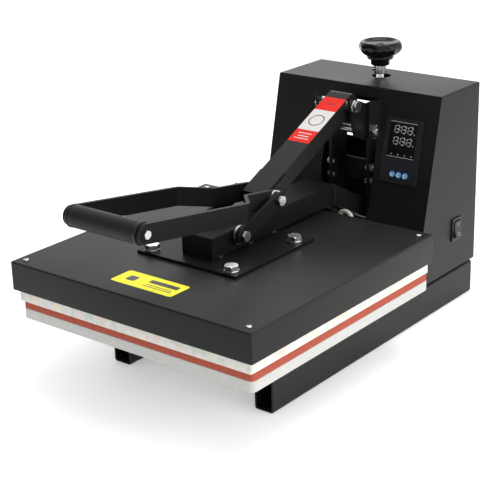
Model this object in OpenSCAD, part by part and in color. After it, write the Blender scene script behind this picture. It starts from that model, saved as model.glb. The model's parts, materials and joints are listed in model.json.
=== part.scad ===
// Clamshell heat press: a square heated platen on a hinged arm, closed over a
// padded lower platen by an over-centre toggle handle.
// Every module places its piece with press(), which puts the middle of the
// whole machine on the Y axis. Inside press(), Y counts back from the front
// edge of the platen cover and Z counts up from the bench.

/* [Platens] */
// Side of the square lower platen and its pad
platen_w = 382; // [372:1:382]
// Side of the square heated platen
heat_platen_w = 383; // [376:1:383]
// Height of the lower platen's underside above the bench
lower_platen_z = 88.5; // [88:0.1:89]
// Thickness of the lower platen
lower_platen_t = 14.5; // [14:0.1:14.5]
// Thickness of the silicone pad
pad_t = 10.2; // [10:0.1:10.2]
// Thickness of the heated platen
heat_platen_t = 17; // [16.8:0.1:17]
// Radius of the lower platen's upright corners
platen_corner_r = 7; // [4:1:12]
// Radius of the heated platen's upright corners
heat_corner_r = 2; // [1.5:0.5:6]

/* [Platen cover] */
// Width of the cover
cover_w = 395; // [392:1:400]
// Depth of the cover, front to back
cover_d = 391; // [389:1:393]
// Height of the cover's skirt
cover_h = 38.9; // [38.9:0.1:40]
// Thickness of the cover's sheet
cover_t = 1.5; // [1.2:0.1:1.5]

/* [Base] */
// Width over both rails
rails_w = 272; // [268:1:276]
// Width of one rail tube
rail_w = 29; // [26:1:30]
// Height of one rail tube
rail_h = 50; // [50:1:50]
// Wall of the rail tubes
rail_wall = 2.5; // [2:0.5:3]
// Distance of the rails' front ends behind the cover's front edge
rail_front = 116; // [100:1:130]

/* [Housing] */
// Width of the housing
housing_w = 279; // [276:1:284]
// Height of the housing's top above the bench
housing_top = 323.2; // [322:0.2:326]
// Height of the housing's lower edge above the bench
housing_bottom = 55.5; // [54:0.5:60]
// Place of the top front edge
housing_front = 503.2; // [503:0.1:504]
// Place of the back
housing_back = 607; // [605:1:610]
// How far the front face leans forward for each unit of height
front_lean = 0.225; // [0.22:0.001:0.23]
// Thickness of the housing's sheet
sheet_t = 1.5; // [1.2:0.1:1.5]
// Width of the throat that the arms pass through
throat_w = 90; // [88:1:94]
// Height of the throat's top edge above the bench
throat_top = 307; // [306:0.5:309]

/* [Linkage] */
// Bore and shaft difference of every running fit, on the diameter
running_gap = 0.1; // [0.04:0.02:0.16]
// Thickness of the toggle links
link_t = 5; // [4:0.5:5]
// Width of the toggle links
link_w = 22; // [20:1:24]
// Distance from the middle to the inner face of each toggle link
link_x = 32; // [31.5:0.5:32.5]

/* [Handle] */
// Diameter of the grip
grip_d = 29; // [26:1:32]
// Height of the flat handle bars
bar_h = 25; // [22:1:26]
// Thickness of the flat handle bars
bar_t = 5; // [4:0.5:5]
// Distance from the middle to the outer face of each bar at the grip
bar_out_x = 61; // [60:1:66]

/* [Pressure knob] */
// Diameter over the knob's lobes
knob_d = 64; // [56:1:66]
// Number of grooves round the knob
knob_grooves = 8; // [5:1:10]
// Diameter of the pressure screw
screw_d = 12; // [10:1:12]

/* [Controls] */
// Width of the controller's bezel
bezel_w = 60; // [58:1:66]
// Height of the controller's bezel along the sloping face
bezel_h = 91; // [90:1:100]
// Diameter of the controller's push buttons
button_d = 9; // [8:0.2:9.4]

/* [Hidden] */
$fn = 64;
tiny = 0.01;
face_gap = 0.3;                 // between faces that pass each other

// Whole machine, front to back
grip_y = -17;
grip_z = 264;
front_reach = grip_d / 2 - grip_y;
screw_head_t = 2;
rear_reach = housing_back + screw_head_t;
front_y = (front_reach - rear_reach) / 2;

// Heights, from the bench up
pad_z = lower_platen_z + lower_platen_t;
heat_platen_z = pad_z + pad_t + face_gap;
heat_platen_top = heat_platen_z + heat_platen_t;
cover_z = 130;
cover_top = cover_z + cover_h;
platen_y = 9;                   // the cover overhangs the lower platen by this at the front
heat_platen_y = 6;
plate_t = 4;
plate_top = cover_top + plate_t;

// Pivots, as [y, z]
hinge_at = [497, 140];          // platen arm on the columns
handle_at = [451, 306];         // handle arm on the lever
upper_at = [266, 221];          // toggle links on the handle arm
lower_at = [190, 194.5];        // toggle links on the platen arm
lever_at = [492, 261];          // pressure lever on the columns
screw_y = 562;                  // pressure screw
rod_hole_y = 565;               // hole in the housing that it stands in

// Arm and frame widths
arm_half = 25;
arm_h = 30;
arm_wall = 3;
cheek_t = 5;
handle_half = 18.5;
bar_in_x = 23.3;                // inner face of each handle bar on the arm
cheek_in = arm_half - cheek_t;
lever_in = arm_half + 0.5;
lever_t = 4;
column_in = lever_in + lever_t + 0.5;
column_t = 5;
column_y = 481;
column_w = 40;
column_top = 305;
rail_in = rails_w / 2 - rail_w;

// Fasteners: [shank diameter, width across flats, head height]
m6 = [6, 10, 4];
m8 = [8, 13, 5.6];
m10 = [10, 17, 6.4];
m12 = [12, 19, 7.5];
m16 = [16, 24, 8];

module press() {
    translate([0, front_y, 0]) children();
}

// A side outline of [y, z] points, spread along X between two places
module slab(x0, x1) {
    translate([x1, 0, 0]) rotate([90, 0, -90]) mirror([1, 0, 0])
        linear_extrude(x1 - x0) children();
}

// A round bar along X through a [y, z] point
module round_x(at, d, x0, x1) {
    translate([x0, at[0], at[1]]) rotate([0, 90, 0]) cylinder(d = d, h = x1 - x0);
}

module both_sides() {
    children();
    mirror([1, 0, 0]) children();
}

// A hexagon with the chamfered corners of a bolt head, standing on Z = 0
module hex_head(af, h) {
    corner_d = af / cos(30);
    intersection() {
        cylinder(d = corner_d, h = h, $fn = 6);
        cylinder(d1 = corner_d + 2 * h, d2 = af * 0.96, h = h + (corner_d - af) / 4);
    }
}

// The same head turned to face +X at a [y, z] point
module hex_head_x(at, size, x0) {
    translate([x0, at[0], at[1]]) rotate([0, 90, 0]) rotate(12) hex_head(size[1], size[2]);
}

module washer_x(at, outer, inner, x0, x1) {
    difference() {
        round_x(at, outer, x0, x1);
        round_x(at, inner, x0 - 1, x1 + 1);
    }
}

// Rectangle with round corners, its front edge on Y = 0
module rounded_outline(w, d, r) {
    translate([-w / 2 + r, 0]) square([w - 2 * r, d]);
    translate([-w / 2, r]) square([w, d - 2 * r]);
    for (x = [-1, 1], y = [r, d - r]) translate([x * (w / 2 - r), y]) circle(r);
}

// Square tube along Z, its corners rounded
module box_tube(w, d, wall, len, r) {
    linear_extrude(len) difference() {
        rounded_outline(w, d, r);
        translate([0, wall]) rounded_outline(w - 2 * wall, d - 2 * wall, max(r - wall, 0.6));
    }
}

// ---------------------------------------------------------------- base frame

module rail() {
    color([0.13, 0.13, 0.14]) press()
        translate([(rail_in + rails_w / 2) / 2, housing_back, 0]) rotate([90, 0, 0])
            box_tube(rail_w, rail_h, rail_wall, housing_back - rail_front, 3.5);
}

module left_rail() {
    mirror([1, 0, 0]) rail();
}

module right_rail() {
    rail();
}

cross_h = 28;

module cross_tube(y, depth) {
    color([0.12, 0.12, 0.13]) press()
        translate([-rail_in, y + depth / 2, rail_h - cross_h]) rotate([90, 0, 90])
            box_tube(depth, cross_h, rail_wall, 2 * rail_in, 3);
}

front_bar_y = 175;
rear_bar_y = 335;
bar_d = 30;

module front_cross_bar() {
    cross_tube(front_bar_y - bar_d / 2, bar_d);
}

module rear_cross_bar() {
    cross_tube(rear_bar_y - bar_d / 2, bar_d);
}

beam_front = 472;
beam_d = 56;

module column_beam() {
    cross_tube(beam_front, beam_d);
}

module platen_studs() {
    stud_x = 85;
    color([0.55, 0.56, 0.58]) press()
        for (x = [-stud_x, stud_x], y = [front_bar_y, rear_bar_y]) translate([x, y, 0]) {
            translate([0, 0, rail_h + 10]) cylinder(d = 14, h = lower_platen_z - rail_h - 10);
            translate([0, 0, rail_h]) hex_head(m12[1], 10);
        }
}

module lower_platen() {
    color([0.78, 0.78, 0.77]) press()
        translate([0, platen_y, lower_platen_z])
            linear_extrude(lower_platen_t) rounded_outline(platen_w, platen_w, platen_corner_r);
}

module silicone_pad() {
    color([0.76, 0.36, 0.26]) press()
        translate([0, platen_y, pad_z])
            linear_extrude(pad_t) rounded_outline(platen_w, platen_w, platen_corner_r);
}

frame_screw_at = [[487, 208], [487, 188]];
tie_y = 506;
tie_z = [180, 212];

module columns() {
    color([0.13, 0.13, 0.14]) press() both_sides()
        difference() {
            translate([column_in, column_y, rail_h])
                cube([column_t, column_w, column_top - rail_h]);
            round_x(hinge_at, m16[0] + running_gap, column_in - 1, column_in + column_t + 1);
            round_x(lever_at, m12[0] + running_gap, column_in - 1, column_in + column_t + 1);
            for (at = frame_screw_at)
                round_x(at, m6[0] + running_gap, column_in - 1, column_in + column_t + 1);
        }
}

module column_tie() {
    color([0.12, 0.12, 0.13]) press()
        translate([-column_in, tie_y, tie_z[0]]) cube([2 * column_in, cheek_t, tie_z[1] - tie_z[0]]);
}

// Screws through the columns, and the one on each that holds the screw bracket
module frame_screws() {
    head_t = 3;
    color([0.75, 0.75, 0.77]) press() {
        both_sides() for (at = frame_screw_at) {
            round_x(at, 9, column_in - head_t, column_in);
            round_x(at, m6[0], column_in - tiny, column_in + column_t + 5);
            hex_head_x(at, m6, column_in + column_t);
        }
        for (x = [-1, 1])
            translate([x * bracket_screw_x, bracket_screw_y, column_top + bracket_t]) {
                hex_head(m6[1], m6[2]);
                translate([0, 0, -bracket_t]) cylinder(d = m6[0], h = bracket_t + tiny);
            }
    }
}

pin_reach = 44;

module arm_hinge_pin() {
    color([0.7, 0.7, 0.72]) press() round_x(hinge_at, m16[0], -pin_reach, pin_reach);
}

module lever_pin() {
    color([0.7, 0.7, 0.72]) press() round_x(lever_at, m12[0], -pin_reach, pin_reach);
}

module pivot_nuts() {
    nut_x = column_in + column_t;
    color([0.78, 0.78, 0.8]) press() both_sides() {
        difference() {
            hex_head_x(hinge_at, [0, m16[1], 7.5], nut_x);
            round_x(hinge_at, m16[0], nut_x - 1, nut_x + 20);
        }
        difference() {
            hex_head_x(lever_at, [0, m12[1], 7.5], nut_x);
            round_x(lever_at, m12[0], nut_x - 1, nut_x + 20);
        }
    }
}

bracket_t = 6;
bracket_half = 40;
bracket_front = 505;
bracket_back = 590;
bracket_screw_x = column_in + column_t / 2;
bracket_screw_y = 513;

module screw_bracket() {
    color([0.14, 0.14, 0.15]) press()
        difference() {
            translate([-bracket_half, bracket_front, column_top])
                cube([2 * bracket_half, bracket_back - bracket_front, bracket_t]);
            translate([0, screw_y, column_top - 1])
                cylinder(d = screw_d + running_gap, h = bracket_t + 2);
            for (x = [-1, 1])
                translate([x * bracket_screw_x, bracket_screw_y, column_top - 1])
                    cylinder(d = m6[0] + running_gap, h = bracket_t + 2);
        }
}

// ------------------------------------------------------------------- housing

// Front face at a height, moved back by t
function face_y(z, t = 0) = housing_front + front_lean * (z - housing_top) + t;

module housing_outline(t) {
    polygon([
        [face_y(housing_bottom, t), housing_bottom],
        [face_y(housing_top - t, t), housing_top - t],
        [housing_back - t, housing_top - t],
        [housing_back - t, housing_bottom]
    ]);
}

rod_hole_d = 28;
switch_at = [551, 117.5];
switch_hole = [21, 29];
housing_half = housing_w / 2;

module housing_shell() {
    color([0.15, 0.15, 0.16]) press()
        difference() {
            slab(-housing_half, housing_half) housing_outline(0);
            slab(-housing_half + sheet_t, housing_half - sheet_t) polygon([
                [face_y(housing_bottom) - 5, housing_bottom - 1],
                [face_y(housing_top - sheet_t) - 5, housing_top - sheet_t],
                [housing_back + 1, housing_top - sheet_t],
                [housing_back + 1, housing_bottom - 1]
            ]);
            translate([0, rod_hole_y, housing_top - 5]) cylinder(d = rod_hole_d, h = 10);
            translate([
                housing_half - 5,
                switch_at[0] - switch_hole[0] / 2,
                switch_at[1] - switch_hole[1] / 2
            ]) cube([10, switch_hole[0], switch_hole[1]]);
        }
}

// Puts a piece on the sloping face: X across, -Y out of the face,
// Z up the slope with 0 at the top edge
lean_angle = atan(front_lean);

module on_face() {
    translate([0, housing_front, housing_top]) rotate([-lean_angle, 0, 0]) children();
}

// Distance down the slope of a height
function down(z) = (housing_top - z) / cos(lean_angle);

panel_gap = 0.3;
panel_half = housing_half - sheet_t - panel_gap;
panel_low = down(housing_bottom + 0.5);
case_cut = [50, 80];
bezel_x = 57.5;
bezel_top = down(286);
bezel_mid = [bezel_x + bezel_w / 2, -bezel_top - bezel_h / 2];

module front_panel() {
    color([0.14, 0.14, 0.15]) press() on_face()
        difference() {
            translate([-panel_half, 0, -panel_low])
                cube([2 * panel_half, sheet_t, panel_low - down(housing_top - sheet_t - panel_gap)]);
            translate([-throat_w / 2, -1, -down(housing_bottom - 10)])
                cube([throat_w, sheet_t + 2, down(housing_bottom - 10) - down(throat_top)]);
            translate([bezel_mid[0] - case_cut[0] / 2, -1, bezel_mid[1] - case_cut[1] / 2])
                cube([case_cut[0], sheet_t + 2, case_cut[1]]);
        }
}

inlet_at = [-80, 105];
inlet_cut = [28, 20];
fuse_at = [-40, 105];
fuse_d = 12;
panel_screw_x = 128;
panel_screw_z = [70, 190, 308];

module rear_panel() {
    slot_w = 60;
    color([0.14, 0.14, 0.15]) press()
        difference() {
            translate([-panel_half, housing_back - sheet_t, housing_bottom + 0.5])
                cube([2 * panel_half, sheet_t, housing_top - sheet_t - panel_gap - housing_bottom - 0.5]);
            translate([inlet_at[0] - inlet_cut[0] / 2, housing_back - 5, inlet_at[1] - inlet_cut[1] / 2])
                cube([inlet_cut[0], 10, inlet_cut[1]]);
            translate([fuse_at[0], housing_back + 5, fuse_at[1]]) rotate([90, 0, 0])
                cylinder(d = fuse_d + 0.2, h = 10);
            for (x = [-60, 60], i = [0 : 6])
                translate([x - slot_w / 2, housing_back - 5, 210 + 11 * i]) cube([slot_w, 10, 4]);
        }
}

module panel_screws() {
    color([0.2, 0.2, 0.21]) press()
        for (x = [-1, 1], z = panel_screw_z)
            translate([x * panel_screw_x, housing_back, z]) rotate([-90, 0, 0])
                difference() {
                    intersection() {
                        translate([0, 0, -6.2]) sphere(d = 16.4);
                        cylinder(d = 7, h = screw_head_t);
                    }
                    for (a = [0, 90]) rotate(a)
                        translate([-2, -0.4, 1.2]) cube([4, 0.8, 2]);
                }
}

bezel_t = 2.5;
window_at = [64.5, down(282)];
window_size = [45, down(232.5) - down(282)];
button_x = [78, 88.5, 99];
button_down = down(209);
button_travel = 1;
button_proud = 1.4;

module controller_bezel() {
    color([0.16, 0.16, 0.18]) press() on_face()
        difference() {
            translate([bezel_x, -bezel_t, -bezel_top - bezel_h]) cube([bezel_w, bezel_t, bezel_h]);
            translate([window_at[0], -bezel_t - 1, -window_at[1] - window_size[1]])
                cube([window_size[0], 2, window_size[1]]);
            for (x = button_x)
                translate([x, 1, -button_down]) rotate([90, 0, 0])
                    cylinder(d = button_d + 0.6, h = bezel_t + 2);
        }
}

module display_window() {
    color([0.04, 0.04, 0.05]) press() on_face()
        translate([window_at[0] + 0.1, -bezel_t, -window_at[1] - window_size[1] + 0.1])
            cube([window_size[0] - 0.2, 1, window_size[1] - 0.2]);
}

case_depth = 60;
button_well = 6;

module controller_case() {
    inset = 0.5;
    color([0.1, 0.1, 0.11]) press() on_face()
        difference() {
            translate([bezel_mid[0] - case_cut[0] / 2 + inset, 0, bezel_mid[1] - case_cut[1] / 2 + inset])
                cube([case_cut[0] - 2 * inset, case_depth, case_cut[1] - 2 * inset]);
            for (x = button_x)
                translate([x, button_well, -button_down]) rotate([90, 0, 0])
                    cylinder(d = button_d + 0.6, h = button_well + 1);
        }
}

module button(i) {
    shaft = 3;
    color([0.36, 0.55, 0.75]) press() on_face()
        translate([button_x[i], 0, -button_down]) rotate([90, 0, 0]) {
            translate([0, 0, -shaft]) cylinder(d = button_d, h = shaft + bezel_t + button_proud - 0.6);
            translate([0, 0, bezel_t + button_proud - 0.6 - tiny])
                cylinder(d1 = button_d, d2 = button_d - 1.6, h = 0.6);
        }
}

module button_1() {
    button(0);
}

module button_2() {
    button(1);
}

module button_3() {
    button(2);
}

rocker_r = 13.2;
rocker_w = 16.8;
rocker_pivot_x = housing_half - 2;
rocker_tilt = 14;
switch_frame_t = 2.5;

module switch_frame() {
    rim = [25, 33.5];
    body = [22, switch_hole[0] - 1, switch_hole[1] - 0.6];
    color([0.05, 0.05, 0.055]) press()
        translate([0, switch_at[0], switch_at[1]])
            difference() {
                union() {
                    translate([housing_half, -rim[0] / 2, -rim[1] / 2])
                        cube([switch_frame_t, rim[0], rim[1]]);
                    translate([housing_half - body[0], -body[1] / 2, -body[2] / 2]) cube(body);
                }
                translate([rocker_pivot_x, (rocker_w + 0.6) / 2, 0]) rotate([90, 0, 0])
                    cylinder(r = rocker_r + face_gap, h = rocker_w + 0.6);
                translate([rocker_pivot_x, -(rocker_w + 0.6) / 2, -rocker_r - face_gap])
                    cube([20, rocker_w + 0.6, 2 * (rocker_r + face_gap)]);
            }
}

// Rocker pressed at its upper end, so the lower half stands out
module power_rocker() {
    crown = 6;
    color([0.04, 0.04, 0.045]) press()
        translate([rocker_pivot_x, switch_at[0] + rocker_w / 2, switch_at[1]]) rotate([90, 0, 0])
            linear_extrude(rocker_w) intersection() {
                circle(rocker_r);
                polygon([
                    [-4, -20],
                    [crown + 20 * tan(rocker_tilt), -20],
                    [crown, 0],
                    [crown, 20],
                    [-4, 20]
                ]);
            }
}

// Appliance inlet with three blades; the lead that fits it is not part of the press
module mains_inlet() {
    flange = [40, 28];
    flange_t = 2;
    body_t = 24;
    cavity = [24, 16];
    blade = [4, 2];
    blade_at = [[-7, -3], [0, -5], [7, -3]];
    color([0.06, 0.06, 0.07]) press()
        translate([inlet_at[0], housing_back, inlet_at[1]])
            difference() {
                union() {
                    translate([-flange[0] / 2, 0, -flange[1] / 2]) cube([flange[0], flange_t, flange[1]]);
                    translate([-inlet_cut[0] / 2 + 0.3, -body_t, -inlet_cut[1] / 2 + 0.3])
                        cube([inlet_cut[0] - 0.6, body_t + tiny, inlet_cut[1] - 0.6]);
                }
                difference() {
                    translate([-cavity[0] / 2, -16, -cavity[1] / 2]) cube([cavity[0], 20, cavity[1]]);
                    for (at = blade_at)
                        translate([at[0] - blade[0] / 2, -17, at[1] - blade[1] / 2])
                            cube([blade[0], 15, blade[1]]);
                }
            }
}

module fuse_holder() {
    color([0.05, 0.05, 0.06]) press()
        translate([fuse_at[0], housing_back, fuse_at[1]]) {
            rotate([90, 0, 0]) translate([0, 0, -tiny]) cylinder(d = fuse_d, h = 30);
            difference() {
                rotate([-90, 0, 0]) cylinder(d = 16, h = screw_head_t);
                translate([-5, 1, -0.6]) cube([10, 2, 1.2]);
            }
        }
}

module solid_state_relay() {
    relay = [45, 24, 58];
    color([0.85, 0.84, 0.8]) press()
        translate([62, housing_back - sheet_t - relay[1], 85]) difference() {
            cube(relay);
            for (x = [6, relay[0] - 16], z = [-1, relay[2] - 9])
                translate([x, -1, z]) cube([10, 9, 10]);
        }
}

module terminal_block() {
    pitch = 11;
    ways = 5;
    block = [pitch * ways, 16, 18];
    color([0.12, 0.12, 0.13]) press()
        translate([-block[0] / 2, housing_back - sheet_t - block[1], 160]) difference() {
            cube(block);
            for (i = [0 : ways - 1])
                translate([pitch * (i + 0.5), -1, block[2] / 2]) rotate([-90, 0, 0])
                    cylinder(d = 6, h = 6);
        }
}

// ---------------------------------------------------------------- platen arm

arm_front = 140;
arm_back = 408;
cap_t = 3;

module arm_tube() {
    color([0.13, 0.13, 0.14]) press()
        difference() {
            translate([0, arm_back, plate_top]) rotate([90, 0, 0])
                box_tube(2 * arm_half, arm_h, arm_wall, arm_back - arm_front - cap_t, 1.5);
            round_x(lower_at, m8[0] + running_gap, -arm_half - 1, arm_half + 1);
        }
}

module arm_end_cap() {
    color([0.1, 0.1, 0.1]) press()
        translate([0, arm_front + cap_t, plate_top]) rotate([90, 0, 0])
            linear_extrude(cap_t) rounded_outline(2 * arm_half, arm_h, 1.5);
}

barrel_d = 26;
cheek_h = 26;

// Side outline of the welded cheek: it carries the tube's side on, down to the hinge
module cheek_outline() {
    slope = atan2(plate_top + arm_h - hinge_at[1] - cheek_h / 2, hinge_at[0] - arm_back);
    polygon([
        [arm_back, plate_top + arm_h],
        [hinge_at[0] + cheek_h / 2 * sin(slope), hinge_at[1] + cheek_h / 2 * cos(slope)],
        [hinge_at[0] - cheek_h / 2 * sin(slope), hinge_at[1] - cheek_h / 2 * cos(slope)],
        [arm_back, plate_top]
    ]);
    translate(hinge_at) circle(d = cheek_h);
}

module hinge_cheeks() {
    color([0.14, 0.14, 0.15]) press() both_sides()
        difference() {
            slab(cheek_in, arm_half) cheek_outline();
            round_x(hinge_at, barrel_d - 6, cheek_in - 1, arm_half + 1);
        }
}

module hinge_barrel() {
    color([0.2, 0.2, 0.21]) press()
        difference() {
            union() {
                round_x(hinge_at, barrel_d, -cheek_in, cheek_in);
                round_x(hinge_at, barrel_d - 6, -column_in + face_gap, column_in - face_gap);
            }
            round_x(hinge_at, m16[0] + running_gap, -column_in, column_in);
        }
}

plate_half = 82;
plate_y = [116, 281];
plate_bolt_at = [[66, 128], [67, 258]];

module base_plate() {
    color([0.13, 0.13, 0.14]) press()
        difference() {
            translate([-plate_half, plate_y[0], cover_top])
                cube([2 * plate_half, plate_y[1] - plate_y[0], plate_t]);
            for (x = [-1, 1], at = plate_bolt_at)
                translate([x * at[0], at[1], cover_top - 1]) cylinder(d = m10[0] + 0.4, h = plate_t + 2);
        }
}

bolt_depth = 16;

module plate_bolts() {
    washer_t = 1.6;
    color([0.8, 0.81, 0.83]) press()
        for (x = [-1, 1], at = plate_bolt_at) translate([x * at[0], at[1], plate_top]) {
            cylinder(d = 20, h = washer_t);
            translate([0, 0, washer_t]) rotate(10 * x) hex_head(m10[1], m10[2]);
            translate([0, 0, -plate_t - cover_t - bolt_depth])
                cylinder(d = m10[0], h = plate_t + cover_t + bolt_depth + tiny);
        }
}

cover_screw_inset = 14.5;
cover_screw_x = cover_w / 2 - cover_screw_inset;
cover_screw_y = [cover_screw_inset, cover_d - cover_screw_inset];

module platen_cover() {
    color([0.17, 0.18, 0.2]) press()
        difference() {
            translate([-cover_w / 2, 0, cover_z]) cube([cover_w, cover_d, cover_h]);
            translate([-cover_w / 2 + cover_t, cover_t, cover_z - 1])
                cube([cover_w - 2 * cover_t, cover_d - 2 * cover_t, cover_h + 1 - cover_t]);
            for (x = [-1, 1], at = plate_bolt_at)
                translate([x * at[0], at[1], cover_z]) cylinder(d = m10[0] + 0.4, h = cover_h + 1);
            for (x = [-1, 1], y = cover_screw_y)
                translate([x * cover_screw_x, y, cover_z]) cylinder(d = 4.2, h = cover_h + 1);
            translate([lead_points[0][0], cover_d + 1, lead_points[0][2]]) rotate([90, 0, 0])
                cylinder(d = lead_d + 1, h = 4);
        }
}

module cover_screws() {
    head_d = 8;
    head_t = 1.9;
    color([0.85, 0.85, 0.86]) press()
        for (x = [-1, 1], y = cover_screw_y)
            translate([x * cover_screw_x, y, cover_top]) {
                intersection() {
                    translate([0, 0, head_t - 5.3]) sphere(r = 5.3);
                    cylinder(d = head_d, h = head_t);
                }
                translate([0, 0, -10]) cylinder(d = 4, h = 10 + tiny);
            }
}

spacer_d = 16;

module insulation_blanket() {
    blanket_w = 350;
    color([0.93, 0.92, 0.88]) press()
        difference() {
            translate([-blanket_w / 2, 20, heat_platen_top + 9.5])
                cube([blanket_w, blanket_w, cover_top - cover_t - heat_platen_top - 10]);
            for (x = [-1, 1], at = plate_bolt_at)
                translate([x * at[0], at[1], heat_platen_top]) cylinder(d = spacer_d + 2, h = cover_h);
        }
}

// Tubular element bent into four runs on the back of the heated platen
module heating_element() {
    tube_d = 8;
    pitch = 100;
    run = [70, 330];
    color([0.45, 0.43, 0.42]) press()
        translate([0, 0, heat_platen_top + tube_d / 2]) {
            for (i = [-1.5 : 1 : 1.5])
                translate([i * pitch, run[0], 0]) rotate([-90, 0, 0])
                    cylinder(d = tube_d, h = run[1] - run[0]);
            for (i = [-1 : 1])
                translate([i * pitch, i == 0 ? run[0] : run[1], 0]) rotate(i == 0 ? 180 : 0)
                    rotate_extrude(angle = 180) translate([pitch / 2, 0]) circle(d = tube_d);
        }
}

module heat_platen() {
    color([0.9, 0.89, 0.87]) press()
        translate([0, heat_platen_y, heat_platen_z])
            linear_extrude(heat_platen_t) rounded_outline(heat_platen_w, heat_platen_w, heat_corner_r);
}

module temperature_probe() {
    color([0.7, 0.7, 0.72]) press() {
        translate([0, 170, heat_platen_top + 3]) rotate([-90, 0, 0]) cylinder(d = 6, h = 45);
        translate([-9, 185, heat_platen_top]) difference() {
            cube([18, 14, 8]);
            translate([9, -1, 3]) rotate([-90, 0, 0]) cylinder(d = 6, h = 16);
        }
    }
}

module platen_spacers() {
    color([0.6, 0.6, 0.62]) press()
        for (x = [-1, 1], at = plate_bolt_at) translate([x * at[0], at[1], heat_platen_top])
            difference() {
                cylinder(d = spacer_d, h = cover_top - cover_t - heat_platen_top);
                translate([0, 0, cover_top - cover_t - heat_platen_top - bolt_depth])
                    cylinder(d = m10[0], h = bolt_depth + 1);
            }
}

// Sleeved heater lead, from the cover's back wall down under the arm to the hinge
lead_d = 6;
lead_points = [
    [62, 388, 153], [62, 394, 154], [60, 401, 159], [55, 406, 164], [46, 410, 166],
    [36, 414, 164], [27, 420, 157], [20, 428, 148], [11, 437, 138], [4, 448, 128],
    [0, 460, 121], [0, 474, 116], [0, 490, 114]
];

function unit(v) = v / norm(v);

// Direction of the lead at point i
function along(p, i) = unit(p[min(i + 1, len(p) - 1)] - p[max(i - 1, 0)]);

// One ring of the sweep, square to the lead
function ring(p, i, d, sides) =
    let (t = along(p, i), a = unit(cross(t, [0, 0, 1])), b = cross(a, t))
    [for (k = [0 : sides - 1]) p[i] + d / 2 * (a * cos(360 * k / sides) + b * sin(360 * k / sides))];

module swept_tube(p, d, sides) {
    n = len(p);
    points = [for (i = [0 : n - 1]) each ring(p, i, d, sides)];
    walls = [for (i = [0 : n - 2], k = [0 : sides - 1])
        [i * sides + k, (i + 1) * sides + k, (i + 1) * sides + (k + 1) % sides, i * sides + (k + 1) % sides]];
    start_cap = [[for (k = [0 : sides - 1]) k]];
    end_cap = [[for (k = [sides - 1 : -1 : 0]) (n - 1) * sides + k]];
    polyhedron(points, concat(walls, start_cap, end_cap));
}

module heater_lead() {
    color([0.92, 0.9, 0.86]) press() swept_tube(lead_points, lead_d, 8);
}

head_x = link_x + link_t + face_gap;

module lower_link_bolt() {
    color([0.8, 0.81, 0.83]) press() {
        round_x(lower_at, m8[0], -head_x - m8[2] - 3, head_x + tiny);
        hex_head_x(lower_at, m8, head_x);
        mirror([1, 0, 0]) hex_head_x(lower_at, m8, head_x);
    }
}

// Spacer sleeve and broad washer on each side of the platen arm
module link_spacers() {
    washer_from = link_x - face_gap - 3;
    color([0.82, 0.83, 0.85]) press() both_sides() {
        washer_x(lower_at, 14, m8[0] + running_gap, arm_half, washer_from);
        washer_x(lower_at, 25, m8[0] + running_gap, washer_from, link_x - face_gap);
    }
}

// ---------------------------------------------------------------- handle arm

arm_slope = atan2(handle_at[1] - upper_at[1], handle_at[0] - upper_at[0]);

// Puts a side outline on the handle arm: origin at its pivot, +X towards the rear
module along_handle() {
    translate(handle_at) rotate(arm_slope) children();
}

arm_reach = 208;
arm_top = 8.5;
arm_bottom = -15;
tail = 23;
channel_t = 3;

module handle_outline(t) {
    tail_r = 11;
    along_handle() {
        polygon([
            [-arm_reach + t, arm_bottom - (t > 0 ? 5 : 0)],
            [tail - t, arm_bottom - (t > 0 ? 5 : 0)],
            [tail - t, arm_top - tail_r],
            [tail - tail_r, arm_top - t],
            [-arm_reach + t, arm_top - t]
        ]);
        translate([tail - tail_r, arm_top - tail_r]) circle(tail_r - t);
    }
}

// Folded channel, open below, with a pad welded on each side to carry the bars
module handle_arm() {
    pad_len = 46;
    color([0.14, 0.14, 0.15]) press() {
        difference() {
            slab(-handle_half, handle_half) handle_outline(0);
            slab(-handle_half + channel_t, handle_half - channel_t) handle_outline(channel_t);
            round_x(handle_at, m10[0] + running_gap, -handle_half - 1, handle_half + 1);
        }
        both_sides() slab(handle_half - tiny, bar_in_x - face_gap) along_handle()
            translate([-arm_reach + 3, arm_bottom + 3]) square([pad_len, arm_top - arm_bottom - 6]);
    }
}

// Flat bar: straight beside the grip, then bent inwards to lie on the arm's side
bar_slope = atan2(upper_at[1] - grip_z, upper_at[0] - grip_y);
bar_len = norm([upper_at[0] - grip_y, upper_at[1] - grip_z]) + 14;
bend_from = 190;
bend_to = 228;
bend_r = 12;

// Points of a circular bend, from angle a0 to a1 about a centre
function bend(c, r, a0, a1) = [for (i = [0 : 6]) let (a = a0 + (a1 - a0) * i / 6) c + r * [cos(a), sin(a)]];

bend_angle = atan2(bar_out_x - bar_t - bar_in_x, bend_to - bend_from);
step_back = bend_r * tan(bend_angle / 2);

// Inner (t = 0) or outer (t = bar_t) line of the bar, in plan, as [x, distance from the grip]
function bar_line(t) = concat(
    [[bar_out_x - bar_t + t, -bar_h]],
    bend([bar_out_x - bar_t - bend_r, bend_from - step_back], bend_r + t, 0, bend_angle),
    bend([bar_in_x + bend_r + bar_t, bend_to + step_back], bend_r + bar_t - t, 180 + bend_angle, 180),
    [[bar_in_x + t, bar_len]]
);

function reversed(list) = [for (i = [len(list) - 1 : -1 : 0]) list[i]];

module handle_bar() {
    color([0.13, 0.13, 0.14]) press()
        translate([0, grip_y, grip_z]) rotate([bar_slope, 0, 0])
            difference() {
                intersection() {
                    translate([0, 0, -bar_h / 2]) linear_extrude(bar_h)
                        polygon(concat(bar_line(bar_t), reversed(bar_line(0))));
                    union() {
                        slab(0, bar_out_x + 5) circle(d = bar_h);
                        translate([0, 0, -bar_h / 2]) cube([bar_out_x + 5, bar_len, bar_h]);
                    }
                }
                round_x([0, 0], m6[0] + running_gap, bar_out_x - bar_t - 1, bar_out_x + 1);
            }
}

module right_handle_bar() {
    handle_bar();
}

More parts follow.
